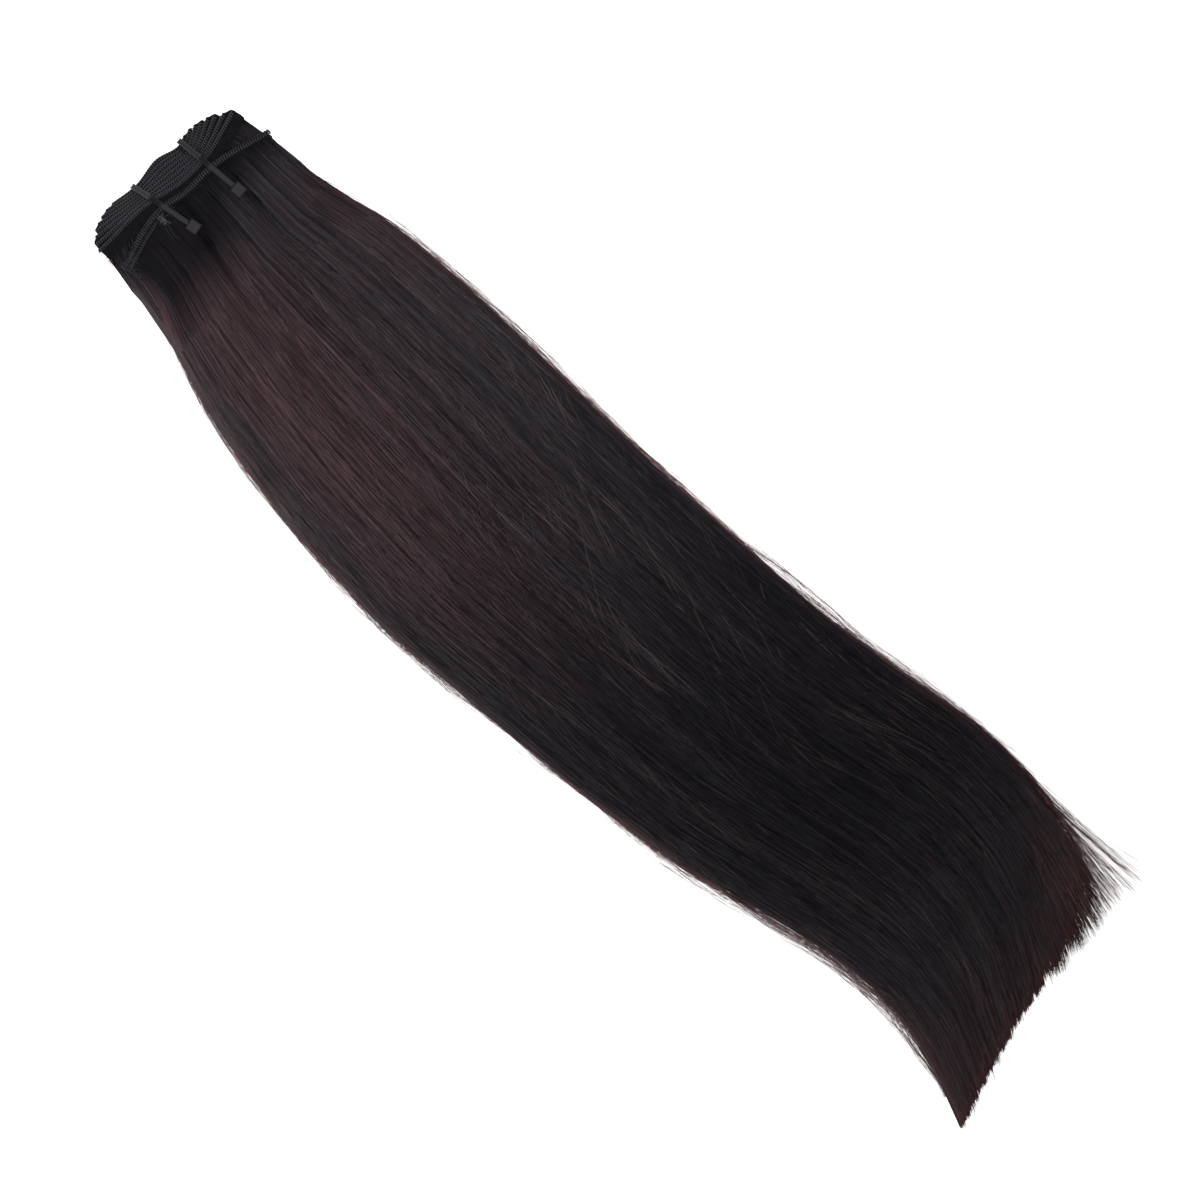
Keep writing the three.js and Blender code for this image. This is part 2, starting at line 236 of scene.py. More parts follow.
print(len(LAYERS), "layers, and the front strip is", round(LAYERS[FRONT][2] - LAYERS[FRONT][0]), "mm long")

# %% [markdown]
# ## How the ties press the hair
# Each tie goes down through the hair just below the front strip. The hair parts round the strap, sinks
# into a groove below the head and swells beside it. One function pushes any point of the hair in this way,
# and the strands and the mass below them both go through it, so that they stay together.

# %% Surface of the hair
TIES = [
    {"name": "cable_tie_left", "x": -5.0, "reach": 8.9, "lean": 9.6, "groove": -0.24, "place": "left_tie"},
    {"name": "cable_tie_right", "x": 21.0, "reach": 12.0, "lean": 3.7, "groove": -0.13, "place": "right_tie"},
]
GROOVE = {"depth": 3.4, "width": 3.6, "length": 26}
SWELL = {"height": 1.0, "off": 9, "width": 4.5, "length": 34}
PARTING = {"shift": 1.9, "width": 4.0, "length": 9}
# Low ridges of the locks: height, how close they lie across, where they start and how they drift.
RIDGES = [(0.40, 9.3, 1.3, 0.004), (0.30, 17.1, 4.1, -0.006), (0.20, 31.0, 0.5, 0.009)]
ROUNDNESS, LOCK_LIFT, LEAST_LIFT = 2.6, 0.9, 0.35


def surface(fall, share):
    """Height of the combed surface: the solid's own curve, with the low ridges of its locks."""
    round_off = np.maximum(0, 1 - np.abs(np.clip(share, -1, 1)) ** ROUNDNESS) ** along("slack", fall)
    rim, crown = along("rim", fall), along("crown", fall)
    ridges = sum(high * np.sin(close * share + start + drift * fall) for high, close, start, drift in RIDGES)
    return rim + (crown - rim) * round_off + ease(fall, 5, 45) * (LOCK_LIFT + ridges * round_off)


def pressed(points):
    """Points of the hair, moved aside and down where the ties press on them."""
    x, fall, z = points[..., 0].copy(), HEM_Y - points[..., 1], points[..., 2].copy()
    depth = ease(z, 3, 16)
    for tie in TIES:
        below = np.maximum(0, fall - tie["reach"])
        middle = tie["x"] + math.sin(math.radians(tie["lean"])) * np.minimum(fall, tie["reach"])
        off = x - (middle + tie["groove"] * below)
        pull = ease(fall, 3, tie["reach"]) * np.exp(-below / GROOVE["length"]) * depth
        z -= GROOVE["depth"] * pull * np.exp(-((off / GROOVE["width"]) ** 2))
        beside = np.exp(-(((np.abs(off) - SWELL["off"]) / SWELL["width"]) ** 2)) * depth
        z += SWELL["height"] * ease(fall, 8, 26) * np.exp(-below / SWELL["length"]) * beside
        near = np.exp(-(((fall - tie["reach"]) / PARTING["length"]) ** 2)) * depth
        x += PARTING["shift"] * np.tanh(off / 0.8) * np.exp(-((off / PARTING["width"]) ** 2)) * near
    return np.stack([x, points[..., 1], z], axis=-1)


def combed(fall, share, depth):
    """Points that lie a depth under the combed surface."""
    low = along("base", fall) + LEAST_LIFT
    z = np.maximum(surface(fall, share) - depth, low)
    return pressed(np.stack([hair_x(fall, share), HEM_Y - fall + 0 * z, z], axis=-1))


print("the hair is", round(float(surface(190.0, 0.0)), 1), "mm high where it is widest")

# %% [markdown]
# ## Helpers
# One function adds a node to any tree, with its settings, values and links. One turns an sRGB hex value
# into the linear colour that Blender works in. Trees could be drawn by hand in the node editor, but built
# here they can be read from top to bottom, and their sizes are named inputs.

# %% Node helpers
def linear(hex_colour):
    """The linear colour of an sRGB hex value."""
    parts = [int(hex_colour[i : i + 2], 16) / 255 for i in (1, 3, 5)]
    return tuple(p / 12.92 if p <= 0.04045 else ((p + 0.055) / 1.055) ** 2.4 for p in parts) + (1.0,)


def fill(tree, node, inputs):
    """Sets a node's inputs, by a link where the value is another node's socket."""
    for key, value in inputs.items():
        if isinstance(value, bpy.types.NodeSocket):
            tree.links.new(value, node.inputs[key])
        else:
            node.inputs[key].default_value = value
    return node


def add(tree, kind, inputs=None, **settings):
    """Adds a node with its settings, values and links."""
    made = tree.nodes.new(kind)
    for name, value in settings.items():
        setattr(made, name, value)
    return fill(tree, made, inputs or {})


def new_material(name):
    """A material with its node tree and its one shader."""
    material = bpy.data.materials.new(name)
    material.use_nodes = True
    return material, material.node_tree, material.node_tree.nodes["Principled BSDF"]


def new_tree(name, **inputs):
    """An empty Geometry Nodes tree with named inputs, given as a socket kind each."""
    tree = bpy.data.node_groups.new(name, "GeometryNodeTree")
    tree.interface.new_socket("Geometry", in_out="INPUT", socket_type="NodeSocketGeometry")
    tree.interface.new_socket("Geometry", in_out="OUTPUT", socket_type="NodeSocketGeometry")
    for title, kind in inputs.items():
        tree.interface.new_socket(title, in_out="INPUT", socket_type="NodeSocket" + kind)
    return tree, tree.nodes.new("NodeGroupInput").outputs


def end_tree(tree, geometry, finish):
    """Ends a tree as the export needs it: no instances, and a material."""
    real = add(tree, "GeometryNodeRealizeInstances", {"Geometry": geometry})
    done = add(tree, "GeometryNodeSetMaterial", {"Geometry": real.outputs["Geometry"], "Material": finish})
    add(tree, "NodeGroupOutput", {"Geometry": done.outputs["Geometry"]})
    print("tree", tree.name, "has", len(tree.nodes), "nodes")
    return tree


print("mid grey is", round(linear("#808080")[0], 3), "in linear light")

# %% [markdown]
# Strands, stitches and teeth all start as plain lines with values on their points. A mesh of loose edges
# can hold those, and it takes whole arrays at once, which is much faster than adding points one by one.
# Another function runs a Geometry Nodes tree on such lines and keeps the result as a plain mesh, because
# the exported model can't hold live modifiers.

# %% Mesh helpers
def new_object(name, data):
    obj = bpy.data.objects.new(name, data)
    bpy.context.scene.collection.objects.link(obj)
    return obj


def triangles(obj):
    obj.data.calc_loop_triangles()
    return len(obj.data.loop_triangles)


def run_tree(obj, tree, **values):
    """Sets a tree's inputs by identifier, runs it on the object and keeps the plain mesh."""
    modifier = obj.modifiers.new(tree.name, "NODES")
    modifier.node_group = tree
    for item in tree.interface.items_tree:
        if item.in_out == "INPUT" and item.name in values:
            modifier[item.identifier] = values[item.name]
    evaluated = obj.evaluated_get(bpy.context.evaluated_depsgraph_get())
    mesh = bpy.data.meshes.new_from_object(evaluated)
    obj.modifiers.clear()
    obj.data = mesh
    mesh.name = obj.name
    print(f"{obj.name}: {triangles(obj)} triangles")
    return obj


def lines_mesh(name, points, **attributes):
    """A mesh of open lines, one for each row of points in millimetres, with values on every point."""
    count, stations = points.shape[:2]
    mesh = bpy.data.meshes.new(name)
    mesh.vertices.add(count * stations)
    mesh.vertices.foreach_set("co", (points * MM).astype(np.float32).ravel())
    first = np.arange(count)[:, None] * stations + np.arange(stations - 1)
    mesh.edges.add(first.size)
    mesh.edges.foreach_set("vertices", np.stack([first, first + 1], axis=-1).astype(np.int32).ravel())
    for title, values in attributes.items():
        full = np.broadcast_to(values, (count, stations) + np.shape(values)[2:]).astype(np.float32)
        kind, field = ("FLOAT_VECTOR", "vector") if full.ndim == 3 else ("FLOAT", "value")
        mesh.attributes.new(title, kind, "POINT").data.foreach_set(field, full.ravel())
    return mesh


print("a millimetre is", MM, "of a Blender unit, which is a metre")

# %% [markdown]
# ## Hair
# Dark brown hair is nearly black until light passes along it: the outer scales give a soft, broad sheen,
# and single hairs differ, some reddish, some cool. Each strand carries its own tone and warmth as
# attributes, and the shader mixes named colours by them, so neighbours differ a little, as real hairs do.
# The cut ends are thin and let light through, so they go to a warmer brown.

# %% Hair material
def hair_material():
    # Keratin has an IOR of 1.55, and its scales lie flat: a sheen along the strand and no mirror.
    material, tree, shader = new_material("dark_brown_hair")
    tone, warmth, tip, glint = (
        add(tree, "ShaderNodeAttribute", attribute_name=name).outputs["Fac"]
        for name in ("tone", "warmth", "tip", "glint")
    )
    # The shine pair is painted light: highlights on stray hairs, and light shining through thin hairs.
    deep, light, shine = (
        add(tree, "ShaderNodeMix", {0: warmth, 6: linear(cool), 7: linear(warm)}, data_type="RGBA").outputs[2]
        for cool, warm in (("#0c0c10", "#100e12"), ("#2b2c31", "#4e3236"), ("#66625a", "#90686a"))
    )
    colour = deep
    for amount, other in ((tone, light), (tip, linear("#865048")), (glint, shine)):
        colour = add(tree, "ShaderNodeMix", {0: amount, 6: colour, 7: other}, data_type="RGBA").outputs[2]
    # The specular level follows the tone, so the highlight is weaker where the tone carries painted shade.
    sheen = add(tree, "ShaderNodeMapRange", {"Value": tone, "To Min": 0.04, "To Max": 0.5})
    fill(tree, shader, {
        "Base Color": colour,
        "Specular IOR Level": sheen.outputs["Result"],
        "Specular Tint": linear("#e0d8de"),
        "Roughness": 0.46,
        "IOR": 1.55,
    })
    return material


hair = hair_material()
print("made", hair.name)

# %% [markdown]
# ## The mass of hair
# Under the strands lies the bulk of the hair, which nothing shows through. It could be the solid itself,
# but then its broad facets would show between strands, so a finer closed sheet is drawn from the same
# sections: ribbed on top as combed hair is, flat below where it lies on the surface.

# %% Build the mass
# How far the mass lies under the strands, stops short of the cut ends, and stops short at the thin corner.
MASS_DEPTH, MASS_SHORT, CORNER_SHORT = 1.5, 8, 80
MASS_FALLS = [np.linspace(8, 60, 18), np.linspace(70, 470, 50), np.linspace(478, 526, 10)]


def hair_mass():
    """Points and faces of the mass, from the lower edges of the tracks to just short of the cut ends."""
    shares = np.linspace(-1, 1, 141)
    below_track = np.full(shares.shape, TRACK_HEIGHT + 0.1)
    root_top = weft_point(FRONT - 1, shares, below_track)
    root_low = weft_point(0, shares, below_track)
    cut = trimmed_fall(shares) - MASS_SHORT - CORNER_SHORT * ease(shares, 0.5, 1)
    fall = np.minimum(np.concatenate(MASS_FALLS)[:, None], cut)
    ribs = 0.22 * np.sin(95 * shares + 0.03 * fall) + 0.16 * np.sin(151 * shares - 0.02 * fall)
    inner = drawn_in(fall, shares * (1 - 0.03 * ease(fall, 20, 70)))
    upper = combed(fall, inner, MASS_DEPTH - ribs)
    low_z = along("base", fall) + 0.2
    lower = np.stack([hair_x(fall, inner, along("tuck", fall)), HEM_Y - fall, low_z], axis=-1)
    upper[..., 2] = np.maximum(upper[..., 2], low_z + 0.4)
    return closed_sheet(np.concatenate([root_top[None], upper]), np.concatenate([root_low[None], lower]))


def closed_sheet(top, under):
    """A closed mesh between an upper and a lower grid of points, as points in metres and faces."""
    rows, columns = top.shape[:2]
    points = np.concatenate([top.reshape(-1, 3), under.reshape(-1, 3)]) * MM
    index = np.arange(rows * columns).reshape(rows, columns)
    corners = [index[:-1, :-1], index[1:, :-1], index[1:, 1:], index[:-1, 1:]]
    quads = np.stack(corners, axis=-1).reshape(-1, 4)
    below = quads[:, ::-1] + rows * columns
    border = np.concatenate([index[0, :-1], index[:-1, -1], index[-1, :0:-1], index[:0:-1, 0]])
    after = np.roll(border, -1)
    side = np.stack([border, after, after + rows * columns, border + rows * columns], axis=-1)
    return points, np.concatenate([quads, below, side])


def mass_piece():
    points, faces = hair_mass()
    mesh = bpy.data.meshes.new("hair_mass")
    mesh.from_pydata(points.tolist(), [], faces.tolist())
    mesh.shade_smooth()
    # Painted shade: the mass under the strands is nearly black, and blacker still towards the weft.
    shade_tone = 0.15 * ease(HEM_Y - points[:, 1] / MM, 12, 60)
    for title, value in (("tone", shade_tone), ("warmth", 0.45 + 0 * shade_tone), ("tip", 0 * shade_tone)):
        mesh.attributes.new(title, "FLOAT", "POINT").data.foreach_set("value", value.astype(np.float32))
    mesh.materials.append(hair)
    return new_object("hair_mass", mesh)


mass = mass_piece()
print("hair mass:", triangles(mass), "triangles")

# %% [markdown]
# ## Strands
# A real bundle has tens of thousands of hairs of less than a tenth of a millimetre. That is too fine to
# show here, so each strand stands for a few hairs lying together. Blender's hair system would suit a head
# that moves, but this hair lies still and has to be exported, so each strand is a line that follows the
# combing, and a Geometry Nodes tree sweeps a small three-sided tube along every line.

# %% Tree that sweeps the strands
def strand_tree():
    tree, start = new_tree("sweep_strands", Sides="Int", Thickness="Float", Finish="Material")
    lines = add(tree, "GeometryNodeMeshToCurve", {"Mesh": start["Geometry"]})
    width = add(tree, "GeometryNodeInputNamedAttribute", {"Name": "width"}, data_type="FLOAT")
    radius = add(tree, "ShaderNodeMath", {
        0: width.outputs["Attribute"], 1: start["Thickness"],
    }, operation="MULTIPLY")
    ring = add(tree, "GeometryNodeCurvePrimitiveCircle", {"Resolution": start["Sides"], "Radius": 0.5})
    tube = add(tree, "GeometryNodeCurveToMesh", {
        "Curve": lines.outputs["Curve"],
        "Profile Curve": ring.outputs["Curve"],
        "Scale": radius.outputs["Value"],
        "Fill Caps": True,
    })
    smooth = add(tree, "GeometryNodeSetShadeSmooth", {"Geometry": tube.outputs["Mesh"]})
    return end_tree(tree, smooth.outputs["Geometry"], start["Finish"])


STRAND_TREE = strand_tree()
STRAND_SIDES = 3

# %% [markdown]
# The export bakes colours through a map. An automatic one of a hundred thousand slivers would be slow and
# wasteful, so each strand gets a small block of its own, with its length along the block.

# %% Sweep a set of strands
def colour_map(mesh, count):
    """Gives each strand a block of its own on the map that the export bakes colours through."""
    rows = math.ceil(math.sqrt(count))
    read = {}
    for title in ("strand", "run"):
        read[title] = np.empty(len(mesh.vertices), np.float32)
        mesh.attributes[title].data.foreach_get("value", read[title])
    corner = np.empty(len(mesh.loops), np.int32)
    mesh.loops.foreach_get("vertex_index", corner)
    strand = np.rint(read["strand"]).astype(int)
    turn = np.arange(len(strand)) % STRAND_SIDES / STRAND_SIDES
    u = (strand % rows + 0.05 + 0.9 * read["run"]) / rows
    v = (strand // rows + 0.1 + 0.8 * turn) / rows
    mesh.uv_layers.new(name="OFBake").data.foreach_set("uv", np.stack([u, v], axis=-1)[corner].ravel())
    for title in ("strand", "run", "width"):
        mesh.attributes.remove(mesh.attributes[title])


def even_run(stations):
    """Even steps along strands, from 0 to 1."""
    return np.linspace(0, 1, stations)[None, :]


def sweep(name, strands):
    """Turns lines with their attributes into one piece of tubes."""
    points = strands.pop("points")
    count, stations = points.shape[:2]
    numbers = np.arange(count)[:, None]
    mesh = lines_mesh(name, points, run=even_run(stations), strand=numbers, **strands)
    obj = run_tree(new_object(name, mesh), STRAND_TREE, Sides=STRAND_SIDES, Thickness=MM, Finish=hair)
    colour_map(obj.data, count)
    return obj


print("strands have", STRAND_SIDES, "sides")

# %% [markdown]
# ## Where strands go
# Hairs lie in small clumps that drift together, each with a slight wander of its own, and a few cross over
# the others at a low angle. That crossing is what keeps combed hair from looking like ruled lines. The
# waves below are long and low, and every random choice comes from a fixed seed.

# %% Places along and across the hair
# Shares of a strand's length where its points lie: close together at the weft and in the bend near the ends.
SPACING = [0, 0.018, 0.045, 0.09, 0.16, 0.26, 0.37, 0.48, 0.59, 0.69, 0.77, 0.835, 0.89, 0.945, 1]


def waves(rng, count, sizes):
    """Smooth random functions of the fall, one a strand, from (height, length) pairs of waves."""
    column = (count, 1)
    parts = [
        (high * rng.normal(size=column), long * rng.uniform(0.7, 1.4, column), rng.uniform(0, 6.3, column))
        for high, long in sizes
    ]
    return lambda fall: sum(high * np.sin(2 * math.pi * fall / long + phase) for high, long, phase in parts)


def clumped_shares(rng, count, clumps, low, high):
    """Shares drawn in clumps, and the number of each strand's clump."""
    centres = rng.uniform(low, high, clumps)
    clump = rng.integers(0, clumps, count)
    return np.clip(centres[clump] + rng.normal(0, 0.011, count), low, high)[:, None], clump


def stations_to(start, end, count, last=5.0):
    """Falls along strands, spaced as in the list, with a short last step for the tip."""
    spaced = np.interp(np.linspace(0, 1, count - 1), np.linspace(0, 1, len(SPACING)), SPACING)
    return np.concatenate([start + (end - last - start) * spaced[None, :], end], axis=1)


def ends(rng, share, clump, spread=2.4, shortest=13):
    """Where strands end: near the trimmed line, a few millimetres ragged, thinner at the right corner."""
    short = np.minimum(rng.exponential(spread, share.shape), shortest)
    tuft = rng.normal(0, 1.0, clump.max() + 1)[clump][:, None]
    thinned = rng.exponential(24, share.shape) * ease(share, 0.55, 1.0)
    thinned = thinned + rng.uniform(0, 30, share.shape) * ease(share, 0.86, 1.0)
    return trimmed_fall(np.clip(swept(505, share), -1, 1)) + 2.5 + tuft - short - thinned


def thickness(rng, stations, count, low, high):
    """Width along each strand in millimetres, thinning to its cut end."""
    run = even_run(stations)
    return rng.uniform(low, high, (count, 1)) * (1 - 0.55 * ease(run, 0.9, 1.0))


print("points of a strand are spaced by", len(SPACING), "shares of its length")

# %% [markdown]
# ## How light and warm strands are
# The hair is brown on the left near the weft and black lower down: the brown is painted sheen, where light
# rakes over it, and one paler spot in the middle is painted sheen too. Painted shade darkens the grooves
# under the ties and a band below the weft, and painted light through thin hair makes the rims and thin ends
# pale.
# These regions set the tone and warmth that strands vary about, clump by clump and strand by strand.

# %% Tone, warmth and tips
TIP_LENGTH = 4


def grooves(fall, x):
    """How much painted shade the hair gets in the grooves below the two ties."""
    shade = 0 * x
    for tie in TIES:
        below = np.maximum(0, fall - tie["reach"])
        middle = tie["x"] + math.sin(math.radians(tie["lean"])) * tie["reach"] + tie["groove"] * below
        across = 0.9 * np.exp(-(((x - middle - 0.8) / 2.4) ** 2))
        shade = np.maximum(shade, across * np.exp(-((below / GROOVE["length"]) ** 2)))
    return shade


def regional(fall, share):
    """How light and how warm the hair is at a place, with painted sheen, painted shade and painted light
    through thin hair.
    """
    # Painted sheen: lighter over the upper half of the hair, and warmer on its left.
    near = 1 - ease(fall, 105, 325)
    left = ease(share, -1.1, -0.5) * (1 - ease(share, -0.5, 0.7))
    # Lighter and warmer by the right edge near the weft.
    edge = ease(share, 0.5, 1.0) * (1 - ease(fall, 50, 140))
    # Painted light through thin hair: lighter and warmer along both rims, wider towards the ends.
    rim = ease(np.abs(share), 0.93 - 0.1 * ease(fall, 380, 480), 1.0)
    # Lighter and warmer by the left edge near the weft.
    flank = (1 - ease(share, -0.98, -0.7)) * ease(fall, 8, 20) * (1 - ease(fall, 30, 75))
    # Painted sheen: one paler spot in the middle.
    sheen_spot = np.exp(-(((fall - 255) / 45) ** 2) - ((share - 0.22) / 0.3) ** 2)
    # Lighter by the left edge lower down.
    low_left = (1 - ease(share, -1, -0.6)) * ease(fall, 300, 400)
    light = 0.2 + near * (0.27 + 0.1 * left) + 0.18 * edge + 0.3 * rim + 0.1 * sheen_spot
    # Painted light through the thin ends makes the hair lighter towards the cut.
    light = light + 0.5 * ease(fall, 380, 510) + 0.12 * low_left + 0.2 * flank
    red = (0.08 + near * (0.12 + 0.75 * left) + 0.35 * edge + 0.35 * rim) * ease(fall, 0, 50)
    # Painted light through the thin ends makes the hair warmer towards the cut.
    red = red + 0.45 * flank + 0.3 * ease(fall, 465, 505)
    # Painted shade in the grooves below the ties.
    return light * (1 - grooves(fall, hair_x(fall, share))), red


def weft_shade(share):
    """How far painted shade keeps the hair dark below the weft: two centimetres by the left tie, hardly at
    all beyond.
    """
    x = hair_x(FIRST_FALL, share)
    return 6 + 18 * ease(x, -41, -33) * (1 - ease(x, 2, 14))


def tones(rng, fall, share, clump, onset=-20.0):
    """Tone, warmth, tip and glint of each point of each strand, with painted shade down to the onset."""
    column = (len(share), 1)
    light, red = regional(fall, share)
    groups = rng.normal(0, 1, (2, clump.max() + 1))
    tone = light * np.exp(0.34 * groups[0][clump][:, None] + 0.42 * rng.normal(0, 1, column))
    bright = rng.random(column) < 0.03
    # Painted shade: below the weft the strands stay dark down to the onset, as they shade one another there.
    first = onset + rng.uniform(-6, 6, column)
    tone = np.where(bright, tone + 0.35, tone) * (0.15 + 0.85 * ease(fall, first, first + 18))
    warmth = red + 0.2 * groups[1][clump][:, None] + 0.16 * rng.normal(0, 1, column)
    # Painted light: the last millimetres of each strand turn warmer brown, where light shines through the
    # thin end.
    last = fall[:, -1:]
    tip = ease(fall, last - TIP_LENGTH, last + 3) * rng.uniform(0.2, 0.9, column)
    # Painted light: some thin strands at the ends and the right corner are paler, where light shines through
    # them.
    thinness = rng.uniform(0.0, 0.8, column) ** 2
    thin = ease(share, 0.5, 1.0) * ease(fall, 440, 505) * 1.25 * thinness
    corner = ease(share, 0.6, 1.0) * ease(fall, 440, 500)
    return {
        "tone": np.clip(tone, 0, 1),
        "warmth": np.clip(warmth, 0, 1),
        "tip": np.maximum(tip, thin),
        "glint": thinness * (0.55 * ease(fall, 470, 510) + 0.7 * corner),
    }


print("tone on the left by the weft:", round(float(regional(60.0, -0.5)[0]), 2))

# %% [markdown]
# ## Strands of the front strip and of the layers behind
# The upper strands come from the front strip. They leave it level, over its lower hem, and settle on the
# mass within a few centimetres. Three pieces share them, because the export thins a piece of more than
# 200,000 triangles.

# %% Strands of the front strip
HEM_FALL = 4.7


def front_strands(seed, count, stations=18):
    rng = np.random.default_rng(seed)
    column = (count, 1)
    share, clump = clumped_shares(rng, count, 130, -0.985, 0.985)
    end = ends(rng, share, clump)
    start = HEM_FALL - 1.9 * ease(share, -0.55, -0.25) * rng.uniform(0.5, 1.0, column)
    fall = stations_to(start, end, stations)
    crosses = rng.random(column) < 0.45
    drift = np.where(crosses, rng.normal(-0.14, 0.14, column), 0) * ease(fall, 130, 340)
    clump_waves = waves(rng, clump.max() + 1, [(0.022, 420), (0.010, 170)])
    own_waves = waves(rng, count, [(0.010, 300), (0.006, 110)])
    moved = np.array([clump_waves(f[None, :])[c] for f, c in zip(fall, clump)])
    where = np.clip(share + ease(fall, 10, 140) * (moved + own_waves(fall) + drift), -0.988, 0.988)
    where = drawn_in(fall, where)
    depth = 1.5 * rng.random(column) ** 1.5
    depth = depth + waves(rng, count, [(0.5, 150), (0.25, 80)])(fall) * ease(fall, 40, 90)
    depth = np.clip(depth, -0.3, 1.6)
    lying = combed(np.maximum(fall, FIRST_FALL), where, depth)
    lying[..., 1] = HEM_Y - fall
    # At the hem a strand lies level over the strip, and from there it eases on to the mass.
    edge = weft_edge(FRONT)[0]
    x = edge[0, 0] + 0.4 + (edge[-1, 0] - edge[0, 0] - 0.8) * (share + 1) / 2
    root_y = np.interp(x, edge[:, 0], edge[:, 1]) - fall
    over = layer_z(FRONT) + 1.15 + 0.1 * (HEM_FALL - start)
    over = over - 0.5 * np.abs(depth[:, :1]) * ease(fall, 6, 10)
    root = pressed(np.stack([x + 0 * fall, root_y, over + 0 * fall], axis=-1))
    points = root + (lying - root) * ease(fall, 6, 46)[..., None]
    colours = tones(rng, fall, where, clump, weft_shade(share))
    return {"points": points, "width": thickness(rng, stations, count, 0.32, 0.62), **colours}


FRONT_SEEDS = {"a": 11, "b": 12, "c": 13}
pieces = [sweep(f"hair_front_{key}", front_strands(seed, count=1400)) for key, seed in FRONT_SEEDS.items()]

# %% [markdown]
# Strands of the layers behind come out lower down. Most of them are hidden, so only those at the two ends
# of the layers are drawn, where they make the sides of the bundle.

# %% Strands of the layers behind
STRANDS_PER_LAYER = (110, 110, 110, 110, 130, 160, 220, 420)


def layer_strands(seed, each, stations=16):
    rng = np.random.default_rng(seed)
    layer = np.repeat(np.arange(FRONT), each)
    count = len(layer)
    side = np.where(rng.random((count, 1)) < 0.55, -1, 1)
    share = side * (0.99 - 0.5 * rng.random((count, 1)) ** 2.2)
    clump = rng.integers(0, 60, count)
    root = np.concatenate([
        weft_point(k, share[layer == k], np.full((each[k], 1), TRACK_HEIGHT - 0.6)) for k in range(FRONT)
    ])
    begin = HEM_Y - root[..., 1]
    fall = stations_to(begin, ends(rng, share, clump, 4), stations)
    settled = np.maximum(fall, FIRST_FALL)
    wander = 0.012 * waves(rng, count, [(1.0, 330), (0.5, 120)])(fall) * ease(fall, 30, 120)
    where = drawn_in(fall, np.clip(share + wander, -0.992, 0.992))
    # Lower layers make the lower part of the sides.
    level = ((layer + 1) / FRONT)[:, None]
    low, high = along("base", settled) + LEAST_LIFT, surface(settled, where) + 0.1
    x = hair_x(settled, where, along("tuck", settled) * (1 - level))
    lying = np.stack([x, HEM_Y - fall, low + (high - low) * level], axis=-1)
    points = pressed(root + (lying - root) * ease(fall, begin, begin + 30)[..., None])
    points[:, 0] = root[:, 0]
    colours = tones(rng, fall, where, clump, -4)
    return {"points": points, "width": thickness(rng, stations, count, 0.34, 0.6), **colours}


pieces.append(sweep("hair_sides", layer_strands(seed=21, each=STRANDS_PER_LAYER)))

# %% [markdown]
# ## Ends, edges and stray hairs
# The trimmed ends are a few millimetres ragged, and those at the right reach a little further. Strands that
# start only near the ends fill the cut line, which the long ones alone would leave thin.

# %% Thin ends
def end_strands(seed, count, stations=7):
    rng = np.random.default_rng(seed)
    share, clump = clumped_shares(rng, count, 110, -1, 1)
    end = ends(rng, share, clump, 1.5, 9) + 8 * rng.random(share.shape) ** 3 * ease(share, 0.3, 0.6)
    begin = end - rng.uniform(50, 150, share.shape)
    fall = np.concatenate([begin + (end - 5 - begin) * even_run(stations - 1), end], axis=1)
    wander = waves(rng, count, [(0.012, 160), (0.006, 60)])(fall)
    where = drawn_in(fall, np.clip(share + wander, -0.992, 0.992))
    top, low = surface(fall, where), along("base", fall) + 0.3
    z = low + (top - low) * rng.random((count, 1)) ** 0.6
    points = np.stack([hair_x(fall, where), HEM_Y - fall, z], axis=-1)
    width = thickness(rng, stations, count, 0.26, 0.5)
    return {"points": points, "width": width, **tones(rng, fall, where, clump)}


pieces.append(sweep("hair_ends", end_strands(seed=31, count=2100)))

# %% [markdown]
# A fringe of loose hairs runs along both long edges in small wisps. Some bow out and come back, and some
# stand off at their free end. These are single hairs or nearly so, and against the white surface light
# shines through them, so they get finer tubes and the palest, warmest colours.

# %% Loose hairs along the edges
LEFT_LAST, RIGHT_LAST = 512, (430, 500)
MOST_OFF = 5.5


